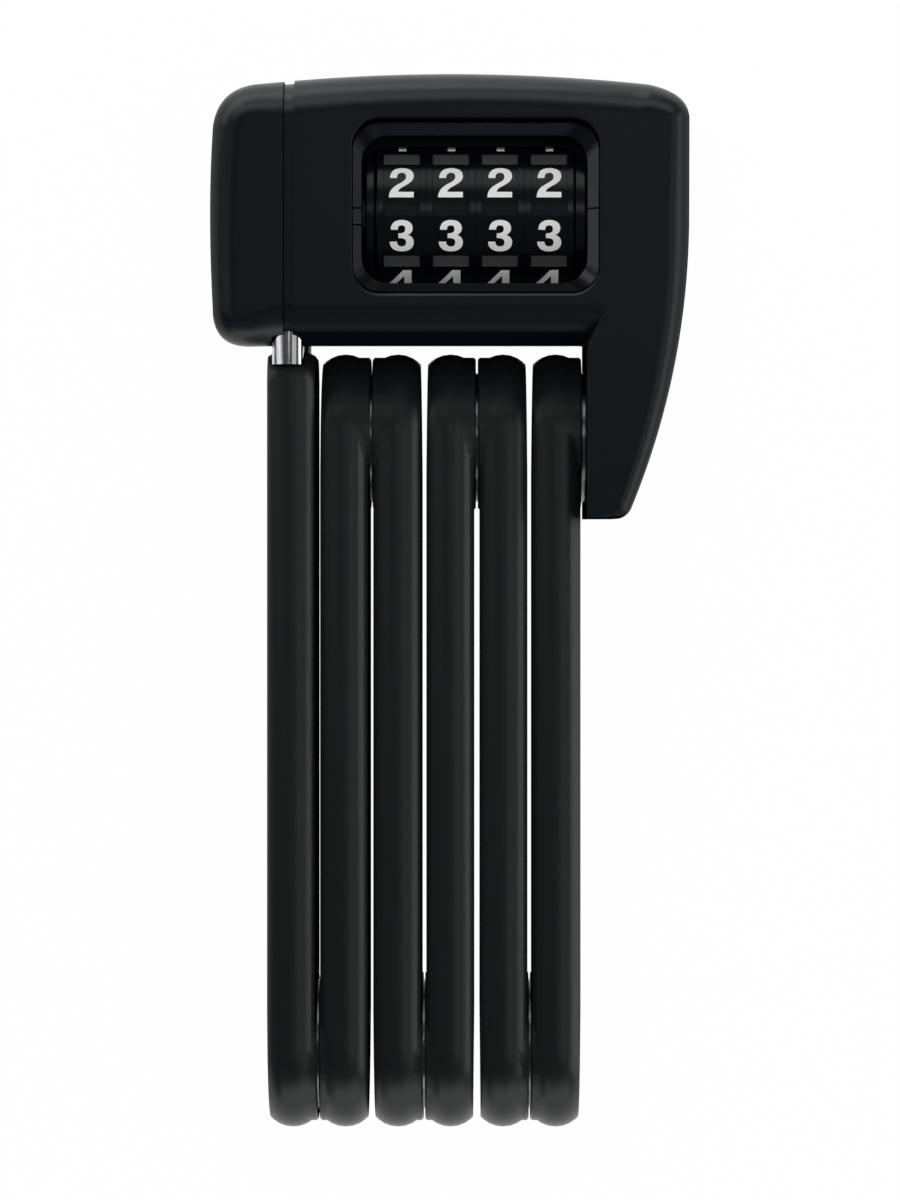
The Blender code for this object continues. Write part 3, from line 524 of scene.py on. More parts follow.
def shoulder_shape(clear, low, high):
    """The flat shoulder of the pin, round at its front and back, or a slot for it with some clearance."""
    x, half, nose = BAR_X[-1] + SHOULDER_SHIFT, CORE_THICK / 2 + clear, SHOULDER_NOSE + clear
    outline = []
    for side, reach in ((1, SHOULDER_FRONT), (-1, SHOULDER_BACK)):
        for angle in HALF_TURN:
            outline.append((x + side * half * math.cos(angle), low,
                            MID_Z + side * (reach - SHOULDER_NOSE + nose * math.sin(angle))))
    return prism(outline, (0, high - low, 0))


def arch_shape():
    """The arch in the front edge of the underside, through which the pin's shoulder shows."""
    x, low, (side, top) = BAR_X[-1] + SHOULDER_SHIFT, UNDERSIDE_Y - OVERSHOOT, ARCH_Y
    outline = [(x - ARCH_HALF, low, MID_Z), (x + ARCH_HALF, low, MID_Z)]
    outline += [(x + ARCH_HALF * math.cos(angle), side + (top - side) * math.sin(angle), MID_Z)
                for angle in HALF_TURN]
    return prism(outline, (0, 0, BODY_DEPTH))


def window_room(lip):
    """The number window's hole, which flares at the front so that the housing's edge comes out round."""
    levels = [(0.0, CASE_Z[1] - OVERSHOOT)]
    levels += [(lip * inset, BODY_DEPTH - lip * drop) for inset, drop in ROUND_EDGE]
    levels.append((lip, BODY_DEPTH + OVERSHOOT))
    rings = []
    for grow, z in levels:
        # The edge is three times as wide along the lock as across it
        across, along = FRAME_FIT + grow / 3, FRAME_FIT + grow
        sides = [(low - step, high + step) for (low, high), step in ((WINDOW_X, across), (WINDOW_Y, along))]
        rings.append([(*p, z) for p in rounded_rectangle(*sides, WINDOW_CORNER + along)])
    return loft(rings)


def cover_shape(name, lip):
    """One of the three mouldings that make up the lock body."""
    all_y, right, edge = (0.0, 3 * BODY_DEPTH), 2 * BODY_DEPTH, SEAM_X + BAND_WIDTH
    across, depth = {
        "front_cover": ((edge, right), (MID_Z + GAP / 2, right)),
        "rear_cover": ((edge, right), (-BODY_DEPTH, MID_Z - GAP / 2)),
        "end_cap": ((-right, SEAM_X - SEAM_GAP), (-BODY_DEPTH, right)),
    }[name]
    cuts = [("INTERSECT", blocks((across, all_y, depth)))]
    if name != "end_cap":
        band = carve(body_shape(), ("INTERSECT", blocks(((SEAM_X, edge + OVERSHOOT), all_y, depth))))
        # Scaled towards its middle, the strip beside the seam lies a band's depth lower on every side
        middle = Vector((0.0, (UNDERSIDE_Y + BAND_TOP_Y) / 2, MID_Z))
        shares = (1.0, 1 - BAND_DEPTH / (middle.y - UNDERSIDE_Y), 1 - BAND_DEPTH / MID_Z)
        bmesh.ops.scale(band, vec=shares, space=Matrix.Translation(-middle), verts=band.verts)
        wall = (LEG_LEFT_X - OVERSHOOT, HINGE_PLATE[0] + OVERSHOOT)
        head = (HINGE_PLATE[1] - OVERSHOOT, HINGE_PLATE[1] + 2 * GAP + RIVET_HEAD_THICK)
        cuts += [("UNION", band), *minus(bore(wall, SPACER_RADIUS + GAP, HINGE_TOP_Y),
                                         bore(head, HEAD_POCKET_RADIUS, HINGE_TOP_Y))]
    slot = shoulder_shape(PIN_FIT, UNDERSIDE_Y - OVERSHOOT, CASE_BOTTOM_Y - GAP / 2)
    cuts += minus(case_room(), socket_room(), slot)
    if name != "rear_cover":
        cuts += minus(arch_shape())
    if name == "front_cover":
        cuts += minus(window_room(lip))
    if name == "rear_cover":
        bay = [(low - GAP, high + GAP) for low, high in (BAY_X, BAY_Y)]
        cuts += minus(blocks((*bay, (BAY_FLOOR_Z, MID_Z))))
    return carve(body_shape(), *cuts)


def frame_shape():
    """The insert round the number window: sloped walls, flat ledges and a sunk shelf over the dials."""
    foot, shelf = CASE_Z[1] + GAP, (OPENING_Y[0], SHELF_TOP_Y)
    # Each level gives its sides, its corner and its heights
    levels = [
        (WINDOW_X, LEDGE_Y, WINDOW_CORNER, [foot] * 4),
        (WINDOW_X, LEDGE_Y, WINDOW_CORNER, FRAME_OUTER_Z),
        (OPENING_X, OPENING_Y, OPENING_CORNER, FRAME_INNER_Z),
        (OPENING_X, OPENING_Y, OPENING_CORNER, [SHELF_Z[0]] * 4),
        (OPENING_X, shelf, OPENING_CORNER, [SHELF_Z[1]] * 4),
        (OPENING_X, shelf, OPENING_CORNER, [foot] * 4),
    ]
    rings = []
    for across, along, corner, heights in levels:
        ring = []
        for i, point in enumerate(rounded_rectangle(across, along, corner)):
            quarter, step = divmod(i, CORNER_STEPS + 1)
            start, end = heights[quarter], heights[(quarter + 1) % 4]
            ring.append((*point, start + (end - start) * math.sin(math.pi / 2 * step / CORNER_STEPS) ** 2))
        rings.append(ring)
    low, high = WINDOW_X[0] - GAP, WINDOW_X[1] + GAP
    spots = [((low, OPENING_X[0] + GAP), y) for y in LEFT_MARKS_Y]
    spots += [((OPENING_X[1] - GAP, high), y) for y in RIGHT_MARKS_Y]
    marks = blocks(*[(across, around(y, MARK_HALF_WIDTH), MARK_Z) for across, y in spots])
    made = carve(loft(rings, closed=True), *minus(marks))
    # The shroud below the sloped walls has a darker, duller material of its own: painted shade in the
    # recess over the dials
    for face in made.faces:
        face.material_index = int(face.calc_center_median().z < MARK_Z[0])
    return made


def bar_ends(number):
    """The heights of a bar's hinge to the piece on its right and of its other end."""
    return (HINGE_TOP_Y, HINGE_BOTTOM_Y) if number % 2 else (HINGE_BOTTOM_Y, HINGE_TOP_Y)


def arc(centre, radius, start, sweep, steps):
    """Points in Y and Z on an arc, by angles from +Z towards +Y."""
    angles = [start + sweep * i / steps for i in range(steps + 1)]
    return [(centre[0] + radius * math.sin(a), centre[1] + radius * math.cos(a)) for a in angles]


def bar_outline(number, radius, inset):
    """A coated bar seen from the side: round at its hinges, and square with soft corners at the pin."""
    radius -= inset
    lower = arc((HINGE_BOTTOM_Y, MID_Z), radius, math.pi, math.pi, BAR_END_STEPS)
    if number < BAR_COUNT:
        return lower + arc((HINGE_TOP_Y, MID_Z), radius, 0.0, math.pi, BAR_END_STEPS)
    corner, half = LAST_BAR_CORNER, BAR_END_STEPS // 2
    y = LAST_BAR_TOP_Y - inset / 2 - corner
    return (lower + arc((y, MID_Z + radius - corner), corner, 0.0, math.pi / 2, half)
            + arc((y, MID_Z - radius + corner), corner, math.pi / 2, math.pi / 2, half))


def bar_shape(number, thick, radius, crown):
    """A coated bar, widest in the middle of its thickness and crowned towards both faces."""
    rings = []
    for i in range(BAR_RINGS):
        offset = thick / 2 * math.sin(math.pi / 2 * (2 * i / (BAR_RINGS - 1) - 1))
        inset = crown - math.sqrt(crown ** 2 - offset ** 2)
        rings.append([(BAR_X[number - 1] + offset, *p) for p in bar_outline(number, radius, inset)])
    return loft(rings)


def boss_shape(x, y, side, face, radius, reach):
    """A hinge boss on a bar's side: round towards the bar's end and flatter towards its middle."""
    out, edge, steps = math.copysign(1.0, y), GAP, 2 * BAR_END_STEPS
    rings = []
    for offset, inset in ((0.0, 0.0), (face - edge, 0.0), (face, edge)):
        ring = []
        for i in range(steps):
            turn = math.tau * i / steps
            along = radius if math.cos(turn) > 0 else reach
            ring.append((x + side * offset, y + out * (along - inset) * math.cos(turn),
                         MID_Z + (radius - inset) * math.sin(turn)))
        rings.append(ring)
    return loft(rings)


def taper_shape(x, y, side, thick, radius, taper):
    """The thin wedge cut from a bar's free side, so that it narrows from the hinge to its end."""
    out, face, run = math.copysign(1.0, y), x - side * thick / 2, TAPER_START + radius
    end, start = y + out * (run - TAPER_START), y - out * (run + TAPER_START)
    outline = [(face + side * taper, end), (face - side * taper, end), (face - side * taper, start)]
    return prism([(*p, -BODY_DEPTH) for p in outline], (0, 0, 3 * BODY_DEPTH))


def core_room(number):
    """The room for the steel bar inside the coating, with a round eye at each hinge."""
    eye, half, thick = CORE_EYE_RADIUS + GAP, CORE_SHANK_HALF + GAP, CORE_THICK + 2 * GAP
    reach = math.acos(half / eye)
    outline = arc((HINGE_BOTTOM_Y, MID_Z), eye, math.pi - reach, math.pi + 2 * reach, BAR_END_STEPS)
    if number == BAR_COUNT:
        outline += [(TANG_TOP_Y + GAP, MID_Z + half), (TANG_TOP_Y + GAP, MID_Z - half)]
    else:
        outline += arc((HINGE_TOP_Y, MID_Z), eye, -reach, math.pi + 2 * reach, BAR_END_STEPS)
    return prism([(BAR_X[number - 1] - thick / 2, *p) for p in outline], (thick, 0, 0))


def jacket_shape(number, sizes):
    """A bar's coating with its bosses, tapered ends and the pockets of its hinges and pin."""
    x, (near, far) = BAR_X[number - 1], bar_ends(number)
    thick, radius = sizes.bar_thickness / MM, sizes.bar_radius / MM
    face, reach = sizes.boss_height / MM, sizes.boss_reach / MM
    last = number == BAR_COUNT
    hinges = [(near, 1)] if last else [(near, 1), (far, -1)]
    cuts = []
    for y, side in hinges:
        round_end = (sizes.boss_radius if y > 0 else sizes.boss_foot) / MM
        cuts += [("UNION", boss_shape(x, y, side, face, round_end, reach)),
                 *minus(taper_shape(x, y, side, thick, radius, sizes.end_taper / MM))]
    cuts += minus(core_room(number))
    for y, side in hinges:
        spacer, head = (x + side * CORE_THICK / 2, x + side * thick), (x, x - side * thick)
        cuts += minus(bore(spacer, SPACER_RADIUS + GAP, y), bore(head, HEAD_POCKET_RADIUS, y))
    if last:
        hole = sizes.pin_radius / MM + PIN_FIT
        ends = (TANG_TOP_Y - OVERSHOOT, LAST_BAR_TOP_Y + OVERSHOOT)
        cuts += minus(turned([(y, hole) for y in ends], "Y", (x, MID_Z)),
                      shoulder_shape(PIN_FIT, SHOULDER_Y[0] - PIN_FIT, ends[1]))
    return carve(bar_shape(number, thick, radius, sizes.bar_crown / MM), *cuts)


def pin_shape(radius):
    """The locking pin: a tang inside the last bar, a flat shoulder, a round shank and a latch notch."""
    x = BAR_X[-1]
    shank = turned([(TANG_TOP_Y - OVERSHOOT, radius), (PIN_TIP_Y - PIN_TIP_CHAMFER, radius),
                    (PIN_TIP_Y, radius - PIN_TIP_CHAMFER)], "Y", (x, MID_Z))
    tang = blocks((around(x, CORE_THICK / 2), (TANG_BOTTOM_Y, TANG_TOP_Y), around(MID_Z, CORE_SHANK_HALF)))
    notch = blocks(((x + radius - NOTCH_DEPTH, x + 2 * radius), around(DIAL_Y, NOTCH_HALF),
                    around(MID_Z, 2 * radius)))
    return carve(shank, ("UNION", tang), ("UNION", shoulder_shape(0.0, *SHOULDER_Y)), *minus(notch))


def cores(number):
    """The spans along X of a bar's core and of the core or plate on its right."""
    half = CORE_THICK / 2
    return around(BAR_X[number - 1], half), HINGE_PLATE if number == 1 else around(BAR_X[number - 2], half)


def rivet_shape(number):
    """The rivet between a bar and the piece on its right, with a chamfered head at each end."""
    left, right = cores(number)
    low, high = left[0] - GAP, right[1] + GAP
    edge = RIVET_HEAD_RADIUS - RIVET_HEAD_CHAMFER
    ends = [low - RIVET_HEAD_THICK, high + RIVET_HEAD_THICK]
    stations = [(ends[0], edge), (ends[0] + RIVET_HEAD_CHAMFER, RIVET_HEAD_RADIUS),
                (low, RIVET_HEAD_RADIUS), (low, RIVET_RADIUS),
                (high, RIVET_RADIUS), (high, RIVET_HEAD_RADIUS),
                (ends[1] - RIVET_HEAD_CHAMFER, RIVET_HEAD_RADIUS), (ends[1], edge)]
    return turned(stations, "X", (bar_ends(number)[0], MID_Z))


def spacer_shape(number):
    """The ring in the gap between the cores of a bar and the piece on its right."""
    left, right = cores(number)
    span = (left[1] + GAP, right[0] - GAP)
    return tube(span, RIVET_RADIUS + GAP, SPACER_RADIUS, "X", (bar_ends(number)[0], MID_Z), SPACER_CHAMFER)


def groove_shape(x, radius):
    """The cutters for the grooves between a dial's numbers, one of them facing straight to the front."""
    box = (around(x, DIAL_BAND_HALF), around(0.0, GROOVE_WIDTH / 2),
           (radius - GROOVE_DEPTH, radius + OVERSHOOT))
    bm = blocks(*[box] * DIGITS)
    bm.verts.ensure_lookup_table()
    corners = len(bm.verts) // DIGITS
    for i in range(DIGITS):
        turn = Matrix.Rotation(math.tau * i / DIGITS, 3, "X")
        bmesh.ops.rotate(bm, verts=bm.verts[corners * i:corners * (i + 1)], matrix=turn)
    bmesh.ops.translate(bm, vec=(0.0, DIAL_Y, MID_Z), verts=bm.verts)
    return bm


def ring_shape(x, radius):
    """A number dial: chamfered edges, a slightly sunk band for the numbers and grooves between them."""
    (low, high), band, edge = around(x, DIAL_HALF_WIDTH), DIAL_BAND_HALF, radius - DIAL_EDGE
    floor, slope = radius - DIAL_BAND_RECESS, DIAL_BAND_RECESS / 2
    profile = [(low, DIAL_INNER_RADIUS), (low, edge), (low + DIAL_EDGE, radius), (x - band - slope, radius),
               (x - band, floor), (x + band, floor), (x + band + slope, radius), (high - DIAL_EDGE, radius),
               (high, edge), (high, DIAL_INNER_RADIUS)]
    ring = turned(profile, "X", (DIAL_Y, MID_Z), DIAL_STEPS, closed=True)
    ring = carve(ring, *minus(groove_shape(x, radius)))
    # The groove floors take the second material, whose grey is a painted reflection of light
    for face in ring.faces:
        middle = face.calc_center_median()
        depth = radius - math.hypot(middle.y - DIAL_Y, middle.z - MID_Z)
        in_groove = 2 * DIAL_BAND_RECESS < depth < 2 * GROOVE_DEPTH and abs(middle.x - x) < band - GAP
        face.material_index = int(in_groove)
    return ring


def traced(contour):
    """The points of a drawn contour, with its curves cut into short steps."""
    points = []
    for step in contour:
        if len(step) == 2:
            points.append(Vector(step))
            continue
        start, first, second, end = points[-1], Vector(step[0:2]), Vector(step[2:4]), Vector(step[4:6])
        for i in range(1, NUMERAL_STEPS + 1):
            t = i / NUMERAL_STEPS
            points.append((1 - t) ** 3 * start + 3 * t * (1 - t) ** 2 * first + 3 * t * t * (1 - t) * second
                          + t ** 3 * end)
    # A last point that meets the first one is left out
    return points if (points[0] - points[-1]).length > NUMERAL_MERGE else points[:-1]


def number_shape(digit, x, width, height, radius):
    """One printed number as a thin solid, bent round the dial at its own place."""
    curve = bpy.data.curves.new("number", "CURVE")
    curve.dimensions = "2D"
    curve.fill_mode = "FRONT"
    for contour in NUMERALS[digit]:
        points = traced(contour)
        spline = curve.splines.new("POLY")
        spline.points.add(len(points) - 1)
        for point, place in zip(spline.points, points):
            point.co = ((place.x - NUMERAL_CENTRE[0]) * width / NUMERAL_WIDTH,
                        (place.y - NUMERAL_CENTRE[1]) * height / NUMERAL_HEIGHT, 0.0, 1.0)
        spline.use_cyclic_u = True
    flat = bpy.data.objects.new("number", curve)
    bpy.context.scene.collection.objects.link(flat)
    mesh = evaluated(flat)
    bm = bmesh.new()
    bm.from_mesh(mesh)
    bpy.data.objects.remove(flat, do_unlink=True)
    bpy.data.curves.remove(curve)
    bpy.data.meshes.remove(mesh)
    bmesh.ops.remove_doubles(bm, verts=bm.verts, dist=MERGE)
    for i in range(1, int(height / NUMBER_SLICE) + 1):
        level = Vector((0.0, i * NUMBER_SLICE - height / 2, 0.0))
        parts = bm.verts[:] + bm.edges[:] + bm.faces[:]
        bmesh.ops.bisect_plane(bm, geom=parts, plane_co=level, plane_no=(0.0, 1.0, 0.0))
    grown = bmesh.ops.extrude_face_region(bm, geom=bm.faces[:])["geom"]
    top = [v for v in grown if isinstance(v, bmesh.types.BMVert)]
    bmesh.ops.translate(bm, vec=(0.0, 0.0, NUMBER_STAND + NUMBER_SINK), verts=top)
    centre = math.radians(FIRST_ANGLE - 360.0 / DIGITS * digit)
    for v in bm.verts:
        turn, reach = centre + v.co.y / radius, radius - NUMBER_SINK + v.co.z
        v.co = (x + v.co.x, DIAL_Y + reach * math.sin(turn), MID_Z + reach * math.cos(turn))
    return bm


def numbers_shape(x, sizes):
    """The ten numbers of a dial in one mesh."""
    floor = sizes.dial_radius / MM - DIAL_BAND_RECESS
    mesh = bpy.data.meshes.new("numbers")
    bm = bmesh.new()
    for digit in range(DIGITS):
        one = number_shape(digit, x, sizes.number_width / MM, sizes.number_height / MM, floor)
        one.to_mesh(mesh)
        one.free()
        bm.from_mesh(mesh)
    bpy.data.meshes.remove(mesh)
    return bm


def add_node(tree, kind, inputs=None, **settings):
    """Adds a node with its settings; an input is a value or another node's output."""
    made = tree.nodes.new(kind)
    for name, value in settings.items():
        setattr(made, name, value)
    for name, value in (inputs or {}).items():
        if isinstance(value, bpy.types.NodeSocket):
            tree.links.new(value, made.inputs[name])
        else:
            made.inputs[name].default_value = value
    return made


def new_material(name, **sockets):
    """A material of that name, whose shader has the given constants, with its node tree and shader."""
    material = bpy.data.materials.new(name)
    material.use_nodes = True
    tree = material.node_tree
    shader = tree.nodes["Principled BSDF"]
    for socket, value in sockets.items():
        shader.inputs[socket.replace("_", " ")].default_value = value
    return material, tree, shader


def calculated(tree, operation, first, second=0.0):
    """The result of a sum or comparison in a material."""
    return add_node(tree, "ShaderNodeMath", {0: first, 1: second}, operation=operation).outputs[0]


def mixed(tree, share, first, second):
    """A colour that turns into another one; each is a colour or another node's output."""
    # A mix node keeps its colours in these sockets, behind those for numbers and vectors
    return add_node(tree, "ShaderNodeMix", {0: share, 6: first, 7: second}, data_type="RGBA").outputs[2]


def grained(name, base, size, spread, bump, rough, stretch=(1.0, 1.0, 1.0), **sockets):
    """A material with a grain of a real size in mm, its colour spread, bump depth and roughness range."""
    material, tree, shader = new_material(name, **sockets)
    place = add_node(tree, "ShaderNodeTexCoord").outputs["Object"]
    scaled = add_node(tree, "ShaderNodeMapping", {"Vector": place, "Scale": stretch}).outputs["Vector"]
    noise = add_node(tree, "ShaderNodeTexNoise", {"Vector": scaled, "Scale": 1.0 / (size * MM),
                                                  "Detail": 4.0, "Roughness": 0.6}).outputs["Fac"]
    cloud = add_node(tree, "ShaderNodeTexNoise", {"Vector": place, "Scale": 1.0 / (CLOUD_SIZE * MM),
                                                  "Detail": 3.0}).outputs["Fac"]
    tones = [(*[min(1.0, c * factor) for c in base], 1.0) for factor in (1 - spread, 1 + spread)]
    gloss = add_node(tree, "ShaderNodeMapRange", {"Value": noise, "From Min": 0.3, "From Max": 0.7,
                                                  "To Min": rough[0], "To Max": rough[1]})
    relief = add_node(tree, "ShaderNodeBump", {"Height": noise, "Strength": 1.0, "Distance": bump * MM})
    tree.links.new(mixed(tree, cloud, *tones), shader.inputs["Base Color"])
    tree.links.new(gloss.outputs["Result"], shader.inputs["Roughness"])
    tree.links.new(relief.outputs["Normal"], shader.inputs["Normal"])
    return material, tree, shader


def facing(tree, axis, start, end, value, other, both=False):
    """A value that turns into another one on faces that look along an axis, or along it both ways."""
    normal = add_node(tree, "ShaderNodeNewGeometry").outputs["Normal"]
    part = add_node(tree, "ShaderNodeSeparateXYZ", {"Vector": normal}).outputs[axis]
    if both:
        part = calculated(tree, "ABSOLUTE", part)
    share = add_node(tree, "ShaderNodeMapRange", {"Value": part, "From Min": start, "From Max": end,
                                                  "To Min": value, "To Max": other})
    return share.outputs["Result"]


def tinted(material, other, share):
    """Mixes a share of another colour into a material's colour."""
    tree = material.node_tree
    base = tree.nodes["Principled BSDF"].inputs["Base Color"]
    tree.links.new(mixed(tree, share, base.links[0].from_socket, (*other, 1.0)), base)


def nylon(colours, name, rough, front=0.2, shaded_underside=None):
    """Glass-filled nylon from a spark-eroded tool: deep black with a fine, slightly uneven satin grain."""
    # Real grain is about 0.1 mm; it is drawn at 0.4 mm so that it shows in the render
    material, tree, shader = grained(name, colours.housing, size=0.4, spread=0.12, bump=0.006, rough=rough,
                                     IOR=1.53)
    # Painted sheen and shade: the rounded edges reflect most, the flat front less, and the sides and, where
    # given, the underside not at all, so that they stay dark as if in shade
    gloss = facing(tree, "X", 0.3, 0.97, 0.42, 0.0, both=True)
    gloss = facing(tree, "Z", 0.95, 0.995, gloss, front, both=True)
    if shaded_underside:
        gloss = facing(tree, "Y", *shaded_underside, gloss, 0.0)
    tree.links.new(gloss, shader.inputs["Specular IOR Level"])
    return material


def vinyl(colours):
    """Soft vinyl drawn over the steel bars: an even satin black with faint marks along the bar."""
    # Draw marks are 0.3 mm wide and run along the bar. Painted shade: the flat sides reflect nothing, the
    # ends that look towards the lock body hardly reflect and those that look away reflect less, so that
    # they stay dark as if in shade
    material, tree, shader = grained("satin_vinyl_coating", colours.coating, size=0.3, spread=0.10,
                                     bump=0.004, rough=(0.30, 0.38), stretch=(1.0, 0.06, 1.0), IOR=1.52)
    gloss = facing(tree, "X", 0.9, 0.99, 0.42, 0.0, both=True)
    gloss = facing(tree, "Y", 0.08, 0.4, gloss, 0.1)
    gloss = facing(tree, "Y", -0.4, -0.8, gloss, 0.28)
    tree.links.new(gloss, shader.inputs["Specular IOR Level"])
    return material


def dial_plastic(base, name, rough, gloss=0.3):
    """A plain moulding with faint flow marks: smooth and black, or dull where its tool was etched."""
    return grained(name, base, size=0.5, spread=0.15, bump=0.003, rough=rough, IOR=1.53,
                   Specular_IOR_Level=gloss)[0]


def ink(colours):
    """Pad-printed white ink: flat and opaque, a little thinner in places."""
    # Uneven cover shows as patches of about 0.6 mm
    return grained("pad_printed_ink", colours.numbers, size=0.6, spread=0.04, bump=0.003, rough=(0.5, 0.62),
                   IOR=1.48, Specular_IOR_Level=0.3)[0]


def chrome(colours):
    """Chromed steel, polished along the pin: mirror bright with faint hairlines."""
    # Polishing hairlines are about 0.05 mm wide; drawn at 0.15 mm so that they show
    material, tree, _ = grained("polished_chrome", colours.chrome, size=0.15, spread=0.03, bump=0.0006,
                                rough=(0.06, 0.14), stretch=(1.0, 0.04, 1.0), Metallic=1.0)
    # Painted shade: the root of the pin and the flanks behind its polished front are tinted dark
    place = add_node(tree, "ShaderNodeTexCoord").outputs["Object"]
    place = add_node(tree, "ShaderNodeSeparateXYZ", {"Vector": place}).outputs
    near = calculated(tree, "LESS_THAN", place["Y"], PIN_SHADE_Y * MM)
    low = calculated(tree, "LESS_THAN", place["Z"], PIN_SHADE_Z * MM)
    tinted(material, colours.skin, calculated(tree, "MULTIPLY", near, low))
    return material


def turned_steel(colours):
    """Turned stainless steel: fine tool marks that run round the part."""
    # Tool marks 0.2 mm apart, constant round the axis of the hinge
    return grained("turned_stainless_steel", colours.steel, size=0.2, spread=0.06, bump=0.003,
                   rough=(0.24, 0.36), stretch=(1.0, 0.02, 0.02), Metallic=1.0)[0]


def plain_metal(name, base, size, rough):
    """A metal inside the lock: milled, drawn or rolled, with a grain of that size and a dull finish."""
    return grained(name, base, size=size, spread=0.08, bump=0.003, rough=rough, stretch=(1.0, 0.2, 1.0),
                   Metallic=1.0)[0]


def white_sweep(base):
    """Matte white studio floor: white to the eye and in reflections, and it keeps the object's shadow."""
    material, tree, shader = new_material("matte_white_floor", Roughness=0.9, Specular_IOR_Level=0.1)
    shader.inputs["Base Color"].default_value = (*base, 1.0)
    path = add_node(tree, "ShaderNodeLightPath").outputs
    seen = calculated(tree, "MAXIMUM", path["Is Camera Ray"], path["Is Glossy Ray"])
    seen = calculated(tree, "MAXIMUM", seen, path["Is Transmission Ray"])
    share = calculated(tree, "MULTIPLY", seen, FLOOR_GLOW)
    glow = add_node(tree, "ShaderNodeEmission", {"Color": (1.0, 1.0, 1.0, 1.0), "Strength": 1.0})
    both = add_node(tree, "ShaderNodeMixShader", {0: share, 1: shader.outputs[0], 2: glow.outputs[0]})
    tree.links.new(both.outputs[0], tree.nodes["Material Output"].inputs["Surface"])
    return material


class LOCK_OT_housing(bpy.types.Operator):
    """Builds the three mouldings of the lock body"""

    bl_idname = "lock.housing"
    bl_label = "Lock body"

    def execute(self, context):
        sizes, colours = context.scene.lock_sizes, context.scene.lock_colours
        # The covers' underside reflects nothing: painted shade
        covers = nylon(colours, "spark_eroded_nylon_shaded_underside", (0.29, 0.37), shaded_underside=(-0.3, -0.7))
        cap = nylon(colours, "satin_nylon", (0.29, 0.37))
        for node, material in (("front_cover", covers), ("rear_cover", covers), ("end_cap", cap)):
            shape = cover_shape(node, sizes.window_lip / MM)
            add_piece(f"{node}_moulding", shape, "lock_body", [material], [node])
        return {"FINISHED"}


class LOCK_OT_window(bpy.types.Operator):
    """Builds the frame of the number window"""

    bl_idname = "lock.window"
    bl_label = "Number window"

    def execute(self, context):
        colours = context.scene.lock_colours
        walls = nylon(colours, "smooth_nylon", (0.14, 0.22), front=0.06)
        # Painted highlight: the wall that looks left is tinted a lighter grey than the others, as it shows
        # in the photo
        tinted(walls, colours.painted_highlight_grey, facing(walls.node_tree, "X", -0.4, -0.6, 0.0, 0.75))
        # The shroud's darker, duller material is painted shade in the recess over the dials
        shroud = dial_plastic(colours.dial, "shroud_painted_shade", (0.5, 0.6), gloss=0.05)
        add_piece("window_frame", frame_shape(), "lock_body", [walls, shroud],
                  ["dial_frame"])
        return {"FINISHED"}


class LOCK_OT_dials(bpy.types.Operator):
    """Builds the number dials, their printed numbers and the collars at the ends of the row"""

    bl_idname = "lock.dials"
    bl_label = "Number dials"

    def execute(self, context):
        sizes, colours = context.scene.lock_sizes, context.scene.lock_colours
        black, print_ink = dial_plastic(colours.dial, "moulded_abs", (0.18, 0.26)), ink(colours)
        grey = dial_plastic(colours.painted_highlight_grey, "groove_floor_painted_reflection", (0.45, 0.55))
        # Painted reflection: the groove floors are grey where they slant, and tinted nearly black where
        # they look straight to the front
        tinted(grey, colours.dial, facing(grey.node_tree, "Z", 0.85, 0.96, 0.0, 1.0))
        for i, axis in enumerate(DIALS, 1):
            ring, numbers = ring_shape(axis.x, sizes.dial_radius / MM), numbers_shape(axis.x, sizes)
            add_piece(f"dial_{i}_ring", ring, f"dial_{i}", [black, grey],
                      [f"number_ring_{i}"])
            add_piece(f"dial_{i}_numbers", numbers, f"dial_{i}", [print_ink])
        for side, span in zip(("left", "right"), COLLAR_X):
            shape = tube(span, COLLAR_INNER_RADIUS, COLLAR_RADIUS, "X", (DIAL_Y, MID_Z), COLLAR_CHAMFER,
                         DIAL_STEPS)
            add_piece(f"collar_{side}", shape, "lock_body", [black],
                      [f"dial_collar_{side}"])
        return {"FINISHED"}


class LOCK_OT_bars(bpy.types.Operator):
    """Builds the coating of the six bars"""

    bl_idname = "lock.bars"
    bl_label = "Coated bars"

    def execute(self, context):
        sizes, material = context.scene.lock_sizes, vinyl(context.scene.lock_colours)
        for number in range(1, BAR_COUNT + 1):
            add_piece(f"bar_{number}_coating", jacket_shape(number, sizes), f"bar_{number}",
                      [material], [f"bar_jacket_{number}"])
        return {"FINISHED"}


class LOCK_OT_hinges(bpy.types.Operator):
    """Builds the rivet and the spacer of each hinge"""

    bl_idname = "lock.hinges"
    bl_label = "Hinges"

    def execute(self, context):
        material = turned_steel(context.scene.lock_colours)
        for number in range(1, BAR_COUNT + 1):
            body = "lock_body" if number == 1 else f"bar_{number - 1}"
            for name, shape in (("rivet", rivet_shape(number)), ("spacer", spacer_shape(number))):
                add_piece(f"{name}_{number}", shape, body, [material], [f"hinge_{name}_{number}"])
        return {"FINISHED"}


class LOCK_OT_pin(bpy.types.Operator):
    """Builds the chromed locking pin"""

    bl_idname = "lock.pin"
    bl_label = "Locking pin"

    def execute(self, context):
        shape = pin_shape(context.scene.lock_sizes.pin_radius / MM)
        add_piece("chromed_pin", shape, f"bar_{BAR_COUNT}", [chrome(context.scene.lock_colours)],
                  ["locking_pin"])
        return {"FINISHED"}


